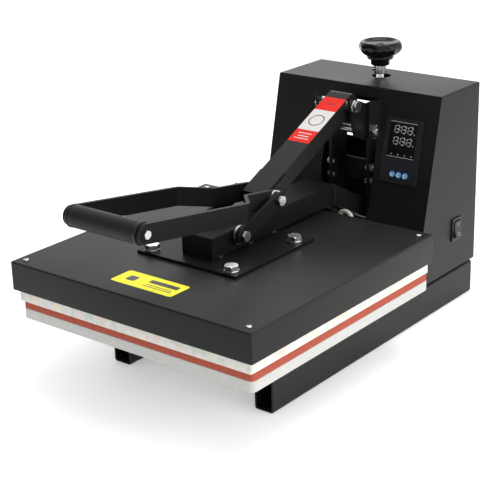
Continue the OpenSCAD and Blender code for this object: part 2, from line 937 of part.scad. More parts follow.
module left_handle_bar() {
    mirror([1, 0, 0]) handle_bar();
}

module grip() {
    grip_half = bar_out_x - bar_t;
    color([0.16, 0.16, 0.165]) press()
        difference() {
            round_x([grip_y, grip_z], grip_d, -grip_half, grip_half);
            both_sides() round_x([grip_y, grip_z], m6[0] + running_gap, grip_half - 22, grip_half + 1);
        }
}

module grip_bolts() {
    color([0.85, 0.85, 0.87]) press() both_sides() {
        hex_head_x([grip_y, grip_z], m6, bar_out_x);
        round_x([grip_y, grip_z], m6[0], bar_out_x - bar_t - 20, bar_out_x + tiny);
    }
}

// Headed bolt, kept at its left end by a flat ring
module handle_pivot_bolt() {
    washer_x0 = lever_in + lever_t + face_gap;
    washer_t = 1.5;
    sleeve_d = 15;
    color([0.8, 0.81, 0.83]) press() {
        round_x(handle_at, m10[0], -washer_x0 - tiny, washer_x0 + washer_t + tiny);
        both_sides() {
            round_x(handle_at, 18, washer_x0, washer_x0 + washer_t);
            round_x(handle_at, sleeve_d, handle_half, lever_in - face_gap);
        }
        hex_head_x(handle_at, [m10[0], 15, 5.5], washer_x0 + washer_t);
    }
}

// Rubber-tipped screw that rests on the platen arm when the toggle is over centre
module stop_bolt() {
    stop_at = [9, 308];
    arm_z = handle_at[1] - (handle_at[0] - stop_at[1]) * tan(arm_slope);
    screw_top = arm_z + arm_top * cos(arm_slope) - 4;
    tip_z = plate_top + arm_h + face_gap;
    color([0.1, 0.1, 0.1]) press() translate([stop_at[0], stop_at[1], 0]) {
        translate([0, 0, tip_z]) cylinder(d = 13, h = 9);
        translate([0, 0, tip_z + 9]) hex_head(10, 5);
        translate([0, 0, tip_z + 14 - tiny]) cylinder(d = 6, h = screw_top - tip_z - 14);
    }
}

// --------------------------------------------------------------- toggle link

module toggle_links() {
    gap = upper_at - lower_at;
    color([0.11, 0.11, 0.115]) press() both_sides()
        difference() {
            slab(link_x, link_x + link_t) {
                translate(lower_at) rotate(atan2(gap[1], gap[0]))
                    translate([0, -link_w / 2]) square([norm(gap), link_w]);
                translate(lower_at) circle(d = link_w);
                translate(upper_at) circle(d = link_w);
            }
            for (at = [lower_at, upper_at])
                round_x(at, m8[0] + running_gap, link_x - 1, link_x + link_t + 1);
        }
}

module upper_link_bolts() {
    washer_from = bar_in_x + bar_t + face_gap;
    color([0.8, 0.81, 0.83]) press() both_sides() {
        hex_head_x(upper_at, m8, head_x);
        round_x(upper_at, m8[0], washer_from, head_x + tiny);
        washer_x(upper_at, 25, m8[0] - tiny, washer_from, link_x - face_gap);
    }
}

// ------------------------------------------------------------ pressure lever

nut_z = 262;
nut_d = 22;
trunnion_d = 12;

module lever_cheeks() {
    color([0.14, 0.14, 0.15]) press() both_sides()
        difference() {
            slab(lever_in, lever_in + lever_t) polygon([
                [438, 320], [446, 290], [454, 262], [480, 249], [screw_y + 16, nut_z - 14],
                [screw_y + 16, nut_z + 12], [480, 301], [472, 308]
            ]);
            round_x(handle_at, m10[0] + 6.6, lever_in - 1, lever_in + lever_t + 1);
            round_x(lever_at, m12[0] + running_gap, lever_in - 1, lever_in + lever_t + 1);
            round_x([screw_y, nut_z], trunnion_d + running_gap, lever_in - 1, lever_in + lever_t + 1);
        }
}

// Cross nut that the pressure screw turns in
module screw_nut() {
    color([0.65, 0.65, 0.67]) press()
        difference() {
            union() {
                round_x([screw_y, nut_z], nut_d, -lever_in, lever_in);
                round_x([screw_y, nut_z], trunnion_d, -lever_in - lever_t, lever_in + lever_t);
            }
            translate([0, screw_y, nut_z - 20]) cylinder(d = screw_d + 2.6, h = 40);
        }
}

// -------------------------------------------------------------- pressure knob

knob_z = 340;
knob_top = 375.5;

module pressure_knob() {
    r = knob_d / 2;
    groove_r = 7;
    color([0.05, 0.05, 0.055]) press() translate([0, screw_y, 0])
        difference() {
            rotate_extrude($fn = 96) polygon([
                [0, knob_z], [11, knob_z], [11.5, knob_z + 8], [14, knob_z + 10], [17, knob_z + 13],
                [r - 4, knob_z + 14.5], [r - 1, knob_z + 17], [r, knob_z + 21], [r, knob_z + 26],
                [r - 1.5, knob_z + 30.5], [r - 4, knob_top - 1], [r - 7, knob_top],
                [r - 9.5, knob_top - 1.2], [r - 12, knob_top - 4], [0, knob_top - 5]
            ]);
            for (i = [0 : knob_grooves - 1])
                rotate(i * 360 / knob_grooves) translate([r + groove_r * 0.75, 0, knob_z + 12])
                    cylinder(r = groove_r, h = 30);
            translate([0, 0, knob_z - 1]) cylinder(d = screw_d, h = 20);
        }
}

module pressure_screw() {
    collar_d = 19;
    screw_low = 226;
    color([0.78, 0.78, 0.8]) press() translate([0, screw_y, 0]) {
        translate([0, 0, screw_low]) cylinder(d = screw_d, h = knob_z + 18 - screw_low);
        difference() {
            union() {
                translate([0, 0, knob_z - 12]) cylinder(d = collar_d, h = 12 - tiny);
                translate([0, 0, column_top + bracket_t + face_gap]) cylinder(d = 22, h = 6);
                translate([0, 0, column_top - 6 - face_gap]) cylinder(d = 22, h = 6);
            }
            translate([0, 0, screw_low]) cylinder(d = screw_d - tiny, h = 200);
        }
    }
}

left_rail();
right_rail();
front_cross_bar();
rear_cross_bar();
column_beam();
platen_studs();
lower_platen();
silicone_pad();
columns();
column_tie();
frame_screws();
arm_hinge_pin();
lever_pin();
pivot_nuts();
screw_bracket();
housing_shell();
front_panel();
rear_panel();
panel_screws();
controller_bezel();
display_window();
controller_case();
switch_frame();
mains_inlet();
fuse_holder();
solid_state_relay();
terminal_block();
arm_tube();
arm_end_cap();
hinge_cheeks();
hinge_barrel();
base_plate();
plate_bolts();
platen_cover();
cover_screws();
insulation_blanket();
heating_element();
heat_platen();
temperature_probe();
platen_spacers();
heater_lead();
lower_link_bolt();
link_spacers();
handle_arm();
left_handle_bar();
right_handle_bar();
grip();
grip_bolts();
handle_pivot_bolt();
stop_bolt();
toggle_links();
upper_link_bolts();
lever_cheeks();
screw_nut();
pressure_knob();
pressure_screw();
power_rocker();
button_1();
button_2();
button_3();
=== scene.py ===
import json
import math
from contextlib import contextmanager
from functools import lru_cache, partial

import bpy
from bpy.props import FloatProperty, FloatVectorProperty, IntProperty, PointerProperty
from mathutils import Matrix, Vector, noise

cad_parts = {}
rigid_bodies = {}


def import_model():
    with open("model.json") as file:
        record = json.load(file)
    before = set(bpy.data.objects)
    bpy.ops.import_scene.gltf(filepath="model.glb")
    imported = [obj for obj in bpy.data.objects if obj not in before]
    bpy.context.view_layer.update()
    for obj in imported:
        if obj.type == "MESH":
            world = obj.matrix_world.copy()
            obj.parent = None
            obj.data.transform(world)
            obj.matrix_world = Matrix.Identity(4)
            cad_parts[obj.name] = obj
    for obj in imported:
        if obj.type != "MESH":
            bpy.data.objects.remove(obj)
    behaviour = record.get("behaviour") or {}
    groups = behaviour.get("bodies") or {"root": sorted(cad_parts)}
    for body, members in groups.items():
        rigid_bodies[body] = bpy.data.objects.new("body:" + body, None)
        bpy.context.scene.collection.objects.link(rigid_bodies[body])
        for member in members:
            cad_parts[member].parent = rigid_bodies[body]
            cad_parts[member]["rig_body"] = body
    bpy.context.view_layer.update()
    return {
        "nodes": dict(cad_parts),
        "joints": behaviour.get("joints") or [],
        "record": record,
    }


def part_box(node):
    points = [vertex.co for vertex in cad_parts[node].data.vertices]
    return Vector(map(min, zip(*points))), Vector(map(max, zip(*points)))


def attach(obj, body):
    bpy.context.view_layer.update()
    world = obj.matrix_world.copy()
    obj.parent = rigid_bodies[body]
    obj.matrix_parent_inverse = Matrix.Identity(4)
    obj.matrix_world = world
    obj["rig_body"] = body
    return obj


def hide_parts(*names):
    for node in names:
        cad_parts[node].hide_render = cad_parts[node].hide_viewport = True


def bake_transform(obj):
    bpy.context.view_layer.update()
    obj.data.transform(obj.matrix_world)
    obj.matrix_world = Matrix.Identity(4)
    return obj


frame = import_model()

bl_info = {
    "name": "Heat press",
    "version": (1, 0, 0),
    "blender": (4, 5, 0),
    "location": "3D View > Sidebar > Heat press",
    "description": "Builds the looks of a clamshell heat press round its packed frame",
    "category": "Add Mesh",
}

MM = 0.001
UP = Vector((0, 0, 1))
SLOTS = {part["node"]: part["material_slot"] for part in frame["record"]["subparts"]}
JOINTS = {joint["name"]: joint for joint in frame["joints"]}

# Drawing coordinates: millimetres, with Y counted back from the cover's front edge
COVER_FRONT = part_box("platen_cover")[0].y

# The housing's sloping face, from the way its push buttons move
FACE_IN = Vector(JOINTS["button_1_press"]["axis"]).normalized()
FACE_OUT = -FACE_IN
FACE_RIGHT = Vector((1, 0, 0))
FACE_UP = FACE_OUT.cross(FACE_RIGHT)


def at(x, y, z):
    """A point of the drawing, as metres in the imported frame"""
    return Vector((x * MM, y * MM + COVER_FRONT, z * MM))


def middle(node):
    low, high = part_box(node)
    return (low + high) / 2


def drawn(node):
    """A node's box in the drawing: its left, front and bottom, then its right, rear and top"""
    return [(c.x / MM, (c.y - COVER_FRONT) / MM, c.z / MM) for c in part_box(node)]


def body_of(node):
    return frame["nodes"][node]["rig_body"]


# ------------------------------------------------------------------ shader maths

BAND_SPACING = 0.314  # between the crests of a wave texture at scale 1
MIX_A, MIX_B, MIX_RESULT = 6, 7, 2  # the colour sockets of a Mix node


def maths(operation, swapped=False):
    """A method that joins a value and another, or a number, with a Math node"""

    def method(self, other):
        numbers = (other, self) if swapped else (self, other)
        settings = {"operation": operation}
        return self.finish.node("ShaderNodeMath", settings, dict(enumerate(numbers)))

    return method


class Value:
    """A number that varies over a surface, so that shader maths reads as arithmetic"""

    def __init__(self, finish, socket):
        self.finish = finish
        self.socket = socket

    __add__ = __radd__ = maths("ADD")
    __sub__ = maths("SUBTRACT")
    __rsub__ = maths("SUBTRACT", swapped=True)
    __mul__ = __rmul__ = maths("MULTIPLY")

    def above(self, edge, softness=0.02):
        """0 below the edge, 1 above it, with a soft step between"""
        steps = {"interpolation_type": "SMOOTHSTEP"}
        span = {0: self, 1: edge - softness, 2: edge + softness}
        return self.finish.node("ShaderNodeMapRange", steps, span)


class Finish:
    """A surface finish whose pattern is laid out in the piece's own metres"""

    def __init__(self, name, **constants):
        self.material = bpy.data.materials.new(name)
        self.material.use_nodes = True
        self.tree = self.material.node_tree
        self.shader = self.tree.nodes["Principled BSDF"]
        for socket, value in constants.items():
            self.shader.inputs[socket.replace("_", " ")].default_value = value
        self.place = self.node("ShaderNodeTexCoord", out="Object")

    def node(self, kind, settings=None, sockets=None, out=0):
        """Adds any node: its settings first, then the values or links of its sockets"""
        made = self.tree.nodes.new(kind)
        for key, value in (settings or {}).items():
            setattr(made, key, value)
        for key, value in (sockets or {}).items():
            if isinstance(value, Value):
                self.tree.links.new(value.socket, made.inputs[key])
            else:
                made.inputs[key].default_value = value
        return Value(self, made.outputs[out])

    def stretched(self, x, y, z):
        settings = {"operation": "MULTIPLY"}
        return self.node("ShaderNodeVectorMath", settings, {0: self.place, 1: (x, y, z)})

    def noise(self, size, detail=2.0, place=None):
        """Soft noise whose blotches are about size metres across"""
        sockets = {"Vector": place or self.place, "Scale": 1 / size, "Detail": detail}
        return self.node("ShaderNodeTexNoise", {}, sockets)

    def cells(self, size):
        """Distance from the middle of scattered cells about size metres across"""
        return self.node("ShaderNodeTexVoronoi", {}, {"Vector": self.place, "Scale": 1 / size})

    def slanting(self, size, place=None):
        """Slanting waves that are size metres apart"""
        settings = {"wave_type": "BANDS", "bands_direction": "DIAGONAL"}
        sockets = {"Vector": place or self.place, "Scale": BAND_SPACING / size}
        return self.node("ShaderNodeTexWave", settings, sockets)

    def mix(self, mask, colour, other):
        first, second = (c if isinstance(c, Value) else (*c, 1) for c in (colour, other))
        sockets = {0: mask, MIX_A: first, MIX_B: second}
        return self.node("ShaderNodeMix", {"data_type": "RGBA"}, sockets, out=MIX_RESULT)

    def relief(self, height, depth):
        """Bump whose full height is depth metres"""
        sockets = {"Strength": 1.0, "Distance": depth, "Height": height}
        return self.node("ShaderNodeBump", {}, sockets)

    def wear(self, **links):
        """Feeds what varies over the surface into the shader"""
        for socket, value in links.items():
            self.tree.links.new(value.socket, self.shader.inputs[socket.replace("_", " ")])
        return self.material


def scaled(colour, factor):
    return tuple(channel * factor for channel in colour)


def chosen(colour):
    """A colour, or the one of that name in the settings"""
    named = isinstance(colour, str)
    return getattr(bpy.context.scene.press_colours, colour) if named else colour


# Each coat's colour in the settings, how much of it is used, its grain, roughness and shine
COATS = {
    "black_powder_coat": ("coat", 1.0, 0.0011, 0.43, 0.24),
    # The arm's paint is the black coat dimmed to 0.7 of its colour: painted shade on the arm tube,
    # its plate, the handle bars and the toggle links
    "arm_paint": ("coat", 0.7, 0.0012, 0.46, 0.13),
    "cover_powder_coat": ("cover", 1.0, 0.0009, 0.46, 0.24),
    "frame_paint": ("frame", 1.0, 0.0018, 0.4, 0.24),
}


@lru_cache(None)
def coat(name):
    """Baked powder coat: orange-peel grain, a little dust, and slow changes in gloss"""
    setting, share, grain, roughness, shine = COATS[name]
    colour = scaled(chosen(setting), share)
    finish = Finish(name, IOR=1.5, Specular_IOR_Level=shine)
    peel = finish.noise(grain, 3)
    specks = finish.cells(grain * 0.55)
    cloud = finish.noise(0.09, 3)
    dust = finish.noise(0.0035, 4).above(0.66, 0.05) * finish.noise(0.05, 2)
    tint = finish.mix(cloud, scaled(colour, 0.86), scaled(colour, 1.14))
    dusty = finish.mix(dust * 0.35, tint, scaled(colour, 2.4))
    return finish.wear(
        Base_Color=dusty,
        Roughness=cloud * 0.12 + peel * 0.08 + (roughness - 0.1),
        Normal=finish.relief(peel * 0.7 + specks * 0.3, 0.00006),
    )


@lru_cache(None)
def coat_edge_highlight_and_wear():
    """The same paint on bends and sheared edges: lighter there as a painted edge highlight, and
    rubbed through to bare metal in spots
    """
    colour, metal = chosen("coat"), (0.3, 0.3, 0.31)
    finish = Finish("powder_coat_edge", IOR=1.5, Specular_IOR_Level=0.26)
    rub = finish.noise(0.006, 4)
    bare = rub.above(0.74, 0.03)
    # Every bevel face gets 1.1 to 1.9 times the coat's colour: painted edge highlight, mixed with
    # rubbed paint
    edge_highlight_and_rubbed_paint = finish.mix(rub, scaled(colour, 1.1), scaled(colour, 1.9))
    return finish.wear(
        Base_Color=finish.mix(bare * 0.7, edge_highlight_and_rubbed_paint, metal),
        Roughness=0.42 - rub * 0.1,
        Metallic=bare * 0.5,
        Normal=finish.relief(rub, 0.00005),
    )


@lru_cache(None)
def zinc():
    """Bright zinc plate, slightly clouded"""
    finish = Finish("zinc_plate", Metallic=1.0)
    cloud = finish.noise(0.006, 3)
    fine = finish.noise(0.0004, 2)
    return finish.wear(
        Base_Color=finish.mix(cloud, (0.5, 0.51, 0.54), (0.68, 0.68, 0.67)),
        Roughness=cloud * 0.1 + fine * 0.06 + 0.16,
        Normal=finish.relief(fine, 0.000006),
    )


@lru_cache(None)
def turned_steel():
    """Turned bright steel with fine tool marks round its axis"""
    finish = Finish("turned_steel", Metallic=1.0)
    marks = finish.noise(0.0007, 2, finish.stretched(0.05, 0.05, 1.4))
    cloud = finish.noise(0.01, 3)
    return finish.wear(
        Base_Color=finish.mix(cloud, (0.5, 0.5, 0.52), (0.68, 0.68, 0.69)),
        Roughness=marks * 0.2 + 0.16,
        Normal=finish.relief(marks, 0.00003),
    )


@lru_cache(None)
def cast_aluminium(name, pale, dark, tints, amount):
    """Sanded cast aluminium: saw marks along the edge, pits, and a mottle of faint tints"""
    finish = Finish(name, Metallic=0.0, IOR=1.6)
    mottle = finish.noise(0.009, 4)
    grit = finish.noise(0.0016, 3)
    saw = finish.noise(0.0011, 3, finish.stretched(0.06, 0.06, 1.0))
    pits = finish.cells(0.0042).above(0.12, 0.05)
    ground = finish.mix(mottle * 0.55 + saw * 0.45, dark, pale)
    for shift, tint in enumerate(tints, 1):
        sockets = {0: finish.place, 1: (shift, 0, 0)}
        shifted = finish.node("ShaderNodeVectorMath", {"operation": "ADD"}, sockets)
        ground = finish.mix(finish.noise(0.013, 3, shifted).above(0.6, 0.06) * amount, ground, tint)
    pitted = finish.mix((1 - pits) * 0.5, ground, scaled(dark, 0.55))
    return finish.wear(
        Base_Color=pitted,
        Roughness=grit * 0.25 + 0.38,
        Normal=finish.relief(saw * 0.5 + grit * 0.3 + pits * 0.2, 0.00018),
    )


@lru_cache(None)
def silicone():
    """Cut silicone sponge: matt, faintly mottled, with open pores on the cut edge"""
    colour = chosen("pad")
    finish = Finish("silicone_sponge", IOR=1.42, Specular_IOR_Level=0.3)
    pores = finish.cells(0.0011).above(0.22, 0.08)
    mottle = finish.noise(0.02, 4)
    skin = finish.mix(mottle, scaled(colour, 0.82), scaled(colour, 1.18))
    return finish.wear(
        Base_Color=finish.mix((1 - pores) * 0.35, skin, scaled(colour, 0.45)),
        Roughness=mottle * 0.15 + 0.72,
        Normal=finish.relief(pores * 0.6 + finish.noise(0.0006) * 0.4, 0.00012),
    )


# Each moulding's colour or its name in the settings, its roughness, and what else it changes
MOULDINGS = {
    "bezel_plastic": ((0.013, 0.014, 0.017), 0.34, {}),
    "display_window": ((0.006, 0.006, 0.008), 0.12, {"depth": 0.000004}),
    "black_plastic": ((0.012, 0.012, 0.012), 0.3, {}),
    "knob_phenolic": ((0.004, 0.004, 0.0045), 0.16, {"grain": 0.002, "film": 0.12, "shine": 0.2}),
    "grip_sleeve": ("grip", 0.5, {"grain": 0.0009, "depth": 0.00004, "shine": 0.2}),
    "stop_rubber": ((0.012, 0.012, 0.012), 0.62, {"grain": 0.0008, "depth": 0.00005}),
    "relay_plastic": ((0.72, 0.7, 0.64), 0.45, {}),
    "button_blue": ("button", 0.2, {"film": 0.5}),
    "button_pale": ((0.42, 0.62, 0.82), 0.25, {"film": 0.5}),
    "display_segments": ((0.36, 0.37, 0.37), 0.4, {}),
    "printed_line": ((0.4, 0.41, 0.42), 0.45, {}),
    "label_yellow": ((0.8, 0.74, 0.03), 0.45, {"grain": 0.004, "shine": 0.12}),
    "label_black": ((0.02, 0.02, 0.016), 0.36, {}),
    "label_red": ((0.66, 0.02, 0.012), 0.45, {"grain": 0.004, "shine": 0.1}),
    "label_white": ((0.6, 0.58, 0.57), 0.45, {"grain": 0.004, "shine": 0.15}),
}
PLAIN_MOULDING = {"grain": 0.0006, "depth": 0.00002, "film": 0.0, "shine": 0.35}


@lru_cache(None)
def moulding(name):
    """Moulded plastic or print: fine spark texture, handling marks and a little lint"""
    colour, roughness, changes = MOULDINGS[name]
    colour = chosen(colour)
    own = {**PLAIN_MOULDING, **changes}
    shine, film = own["shine"], own["film"]
    finish = Finish(
        name, IOR=1.49, Specular_IOR_Level=shine, Coat_Weight=film, Coat_Roughness=0.08
    )
    texture = finish.noise(own["grain"], 3)
    marks = finish.noise(0.012, 4)
    lint = finish.noise(0.0018, 3).above(0.7, 0.03)
    return finish.wear(
        Base_Color=finish.mix(marks * 0.6 + lint * 0.3, colour, scaled(colour, 1.5)),
        Roughness=marks * 0.14 + lint * 0.2 + (roughness - 0.07),
        Normal=finish.relief(texture, own["depth"]),
    )


@lru_cache(None)
def glass_fibre():
    """Woven glass-fibre sleeve, off-white, its braid crossing at a slant"""
    finish = Finish("glass_fibre", IOR=1.45, Sheen_Weight=0.2)
    strand = 0.0011
    braid = finish.slanting(strand) * finish.slanting(strand, finish.stretched(-1, 1, -1))
    soil = finish.noise(0.012, 3)
    thread = finish.mix(braid, (0.5, 0.48, 0.43), (0.82, 0.8, 0.75))
    return finish.wear(
        Base_Color=finish.mix(soil * 0.25, thread, (0.55, 0.5, 0.42)),
        Roughness=braid * 0.15 + 0.68,
        Normal=finish.relief(braid, 0.0003),
    )


@lru_cache(None)
def stained_tube():
    """Heater tube with straw and blue heat stains"""
    finish = Finish("heater_tube", Metallic=0.9)
    stain = finish.noise(0.03, 4)
    straw = finish.mix(stain.above(0.45, 0.15), (0.35, 0.3, 0.24), (0.3, 0.31, 0.36))
    return finish.wear(
        Base_Color=straw,
        Roughness=stain * 0.25 + 0.3,
        Normal=finish.relief(finish.noise(0.0015), 0.00005),
    )


# Each material slot's finish, where it is neither a coat nor a moulding of the slot's own name
FINISHES = {
    "zinc_fastener": zinc,
    "turned_steel": turned_steel,
    "cast_platen": partial(
        cast_aluminium, "cast_platen", (0.66, 0.655, 0.63), (0.47, 0.47, 0.455),
        ((0.55, 0.6, 0.56),), 0.35,
    ),
    "heated_platen": partial(
        cast_aluminium, "heated_platen", (0.93, 0.91, 0.86), (0.6, 0.6, 0.57),
        ((0.52, 0.66, 0.56), (0.9, 0.6, 0.55), (0.88, 0.84, 0.58)), 0.65,
    ),
    "silicone_sponge": silicone,
    "display": partial(moulding, "display_window"),
    "knob_plastic": partial(moulding, "knob_phenolic"),
    "grip_rubber": partial(moulding, "grip_sleeve"),
    "glass_fibre": glass_fibre,
    "heater_tube": stained_tube,
}


def finish_of(name):
    """The material of a slot, a coat or a moulding"""
    if name in FINISHES:
        return FINISHES[name]()
    return coat(name) if name in COATS else moulding(name)


# ------------------------------------------------------------------ modelling


def only(piece):
    """Deselects everything else and makes one piece active"""
    bpy.ops.object.select_all(action="DESELECT")
    piece.select_set(True)
    bpy.context.view_layer.objects.active = piece
    return piece


@contextmanager
def editing(piece, faces=None, edges=None):
    """Edit mode with all selected, or only the faces or edges that pass a test of their place"""
    only(piece)
    bpy.ops.object.mode_set(mode="EDIT")
    bpy.ops.mesh.select_mode(type="EDGE" if edges else "FACE")
    bpy.ops.mesh.select_all(action="DESELECT" if faces or edges else "SELECT")
    bpy.ops.object.mode_set(mode="OBJECT")
    mesh = piece.data
    if faces:
        for face in mesh.polygons:
            face.select = faces(face.center + piece.location, face.normal)
    if edges:
        for edge in mesh.edges:
            first, last = (mesh.vertices[i].co + piece.location for i in edge.vertices)
            edge.select = edges(first, last)
    bpy.ops.object.mode_set(mode="EDIT")
    yield
    bpy.ops.object.mode_set(mode="OBJECT")


def modify(piece, kind, **settings):
    """Adds a modifier and applies it"""
    only(piece)
    made = piece.modifiers.new(kind.lower(), kind)
    for key, value in settings.items():
        setattr(made, key, value)
    bpy.ops.object.modifier_apply(modifier=made.name)
    return piece


def applied(piece):
    """Bakes a piece's place, turn and scale into its mesh"""
    only(piece)
    bpy.ops.object.transform_apply(location=True, rotation=True, scale=True)
    return piece


def joined(pieces):
    """Joins several meshes into the first"""
    bpy.ops.object.select_all(action="DESELECT")
    for piece in pieces:
        piece.select_set(True)
    bpy.context.view_layer.objects.active = pieces[0]
    bpy.ops.object.join()
    return pieces[0]


def settle(piece, name, body, slot, replaces=(), angle=35, finish=None):
    """Shades a finished piece, or several joined, in its slot's finish and gives it to its body"""
    piece = applied(joined(piece) if isinstance(piece, list) else piece)
    bpy.ops.object.shade_smooth_by_angle(angle=math.radians(angle), keep_sharp_edges=False)
    piece.name = piece.data.name = name
    if not piece.data.materials:
        piece.data.materials.append(finish or finish_of(slot))
    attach(piece, body)
    if replaces:
        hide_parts(*replaces)
    return piece


def block(low, high, radius=0.0, segments=2):
    """A box between two corners, its edges rounded"""
    bpy.ops.mesh.primitive_cube_add(size=1, location=(low + high) / 2)
    piece = bpy.context.object
    piece.scale = high - low
    only(piece)
    bpy.ops.object.transform_apply(location=False, rotation=False, scale=True)
    if radius:
        modify(piece, "BEVEL", width=radius, segments=segments, limit_method="ANGLE")
    return piece


def extruded(x, y, z):
    """Extrudes what is selected by a distance in metres"""
    bpy.ops.mesh.extrude_region_move(TRANSFORM_OT_translate={"value": (x, y, z)})


def face_outwards():
    """Turns every face of the mesh in edit mode outwards"""
    bpy.ops.mesh.select_all(action="SELECT")
    bpy.ops.mesh.normals_make_consistent(inside=False)


def lathe(profile, sides=48):
    """Turns a list of (radius, height) in millimetres about Z, closed at both ends"""
    radius, height = profile[0]
    bpy.ops.mesh.primitive_circle_add(vertices=sides, radius=radius * MM, fill_type="NGON")
    piece = bpy.context.object
    with editing(piece):
        bpy.ops.transform.translate(value=(0, 0, height * MM))
        for (old_r, old_z), (new_r, new_z) in zip(profile, profile[1:]):
            extruded(0, 0, (new_z - old_z) * MM)
            share = new_r / old_r
            centre = (0, 0, new_z * MM)
            bpy.ops.transform.resize(value=(share, share, 1), center_override=centre)
    with editing(piece):
        face_outwards()
    return piece


def chamfered(radius, height, chamfer):
    """The profile of a short rod with chamfered ends"""
    return [
        (radius - chamfer, 0), (radius, chamfer), (radius, height - chamfer),
        (radius - chamfer, height),
    ]


def thickened(piece, height):
    """Gives a flat face on the ground a height in metres"""
    with editing(piece):
        extruded(0, 0, height)
        face_outwards()
    return piece


def aimed(piece, place, direction=UP):
    """Stands a piece made along +Z at a place, facing a direction"""
    piece.location = place
    piece.rotation_euler = direction.to_track_quat("Z", "Y").to_euler()
    return applied(piece)


def merged_copy(node, name):
    """A copy of a CAD node's mesh with its loose triangles merged into whole faces"""
    piece = bpy.data.objects.new(name, frame["nodes"][node].data.copy())
    bpy.context.collection.objects.link(piece)
    piece.data.materials.clear()
    with editing(piece):
        bpy.ops.mesh.customdata_custom_splitnormals_clear()
        bpy.ops.mesh.remove_doubles(threshold=0.00001)
        bpy.ops.mesh.dissolve_limited(angle_limit=math.radians(1))
    return piece


def softened(node, radius, edge=None, segments=2, finish=None):
    """A CAD node with its sharp edges rounded by radius millimetres"""
    piece = merged_copy(node, node + "_finished")
    slot = SLOTS[node]
    piece.data.materials.append(finish or finish_of(slot))
    if edge:
        piece.data.materials.append(edge)
    modify(
        piece, "BEVEL", width=radius * MM, segments=segments, limit_method="ANGLE",
        angle_limit=math.radians(25), material=1 if edge else -1, harden_normals=False,
    )
    settle(piece, node + "_finished", body_of(node), slot, [node])
    return modify(piece, "WEIGHTED_NORMAL", keep_sharp=True, weight=60)


def cut(piece, tool):
    """Subtracts a tool from a piece and removes the tool"""
    modify(piece, "BOOLEAN", operation="DIFFERENCE", object=tool, solver="EXACT")
    bpy.data.objects.remove(tool)
    return piece


def weld_bead(name, body, start, end, width):
    """A short ripple of weld between two drawing points, in millimetres"""
    first, last = at(*start), at(*end)
    length = (last - first).length / MM
    ripples = max(3, round(length / (width * 0.45)))
    half = width / 2
    profile = [(half * 0.35, 0)]
    for i in range(ripples):
        for part, swell in ((0.15, 0.82), (0.5, 1.0), (0.85, 0.88)):
            wander = 1 + 0.12 * noise.noise(Vector((i * 1.7, part, length)))
            profile.append((half * swell * wander, length * (i + part) / ripples))
    profile.append((half * 0.35, length))
    bead = aimed(lathe(profile, 12), first, last - first)
    return settle(bead, name, body, "frame_paint", angle=60)


def face_matrix(node, proud=0.0):
    """Puts +Z out of the housing's slope, at a node's outer surface or proud of it"""
    surface = max(vertex.co.dot(FACE_OUT) for vertex in frame["nodes"][node].data.vertices)
    centre = middle(node)
    centre += FACE_OUT * (surface - centre.dot(FACE_OUT) + proud * MM)
    turned = Matrix((FACE_RIGHT, FACE_UP, FACE_OUT)).transposed()
    return Matrix.Translation(centre) @ turned.to_4x4()


def placed(piece, matrix):
    """Moves a mesh that was modelled on the ground into a matrix's place"""
    piece.matrix_world = matrix @ piece.matrix_world
    return applied(piece)


def ring(radius, thickness, segments):
    """A thin ring on the ground, in millimetres"""
    bpy.ops.mesh.primitive_torus_add(
        major_radius=radius * MM, minor_radius=thickness * MM, major_segments=segments
    )
    return bpy.context.object


def rounded_sheet(width, depth, radius, thickness):
    """A thin flat plate with round corners, centred on the ground, in millimetres"""
    half = Vector((width / 2, depth / 2, 0)) * MM
    piece = block(-half, half + Vector((0, 0, thickness * MM)))
    with editing(piece, edges=lambda a, b: abs(a.z - b.z) > thickness * MM / 2):
        bpy.ops.mesh.bevel(offset=radius * MM, segments=5, affect="EDGES")
    return piece


# ------------------------------------------------------------------ settings


class PressColours(bpy.types.PropertyGroup):
    """Colours of the paint, plastics and pad"""

    coat: FloatVectorProperty(
        name="Powder coat", description="Housing, arms and links",
        subtype="COLOR", default=(0.008, 0.008, 0.0078),
    )
    cover: FloatVectorProperty(
        name="Cover", description="Cover over the heated platen",
        subtype="COLOR", default=(0.009, 0.0093, 0.0093),
    )
    frame: FloatVectorProperty(
        name="Frame paint", description="Rails, columns and levers",
        subtype="COLOR", default=(0.006, 0.006, 0.006),
    )
    pad: FloatVectorProperty(
        name="Pad", description="Silicone sponge on the lower platen",
        subtype="COLOR", default=(0.42, 0.088, 0.055),
    )
    grip: FloatVectorProperty(
        name="Grip", description="Sleeve of the handle",
        subtype="COLOR", default=(0.014, 0.014, 0.014),
    )
    button: FloatVectorProperty(
        name="Buttons", description="Push buttons of the controller",
        subtype="COLOR", default=(0.05, 0.19, 0.42),
    )


class PressSizes(bpy.types.PropertyGroup):
    """Sizes of the finish and of what the frame leaves plain"""

    bend_radius: FloatProperty(
        name="Bend radius", description="Outside radius of the folded sheets",
        unit="LENGTH", default=0.0024,
    )
    sheet: FloatProperty(
        name="Sheet", description="Thickness of the folded sheets",
        unit="LENGTH", default=0.0015,
    )
    thread_pitch: FloatProperty(
        name="Thread pitch", description="Pitch of the pressure screw",
        unit="LENGTH", default=0.00175,
    )
    knob_lobes: IntProperty(
        name="Knob lobes", description="Grooves round the pressure knob",
        default=8,
    )
    knob_flutes: IntProperty(
        name="Knob flutes", description="Flutes round the knob's hub",
        default=22,
    )


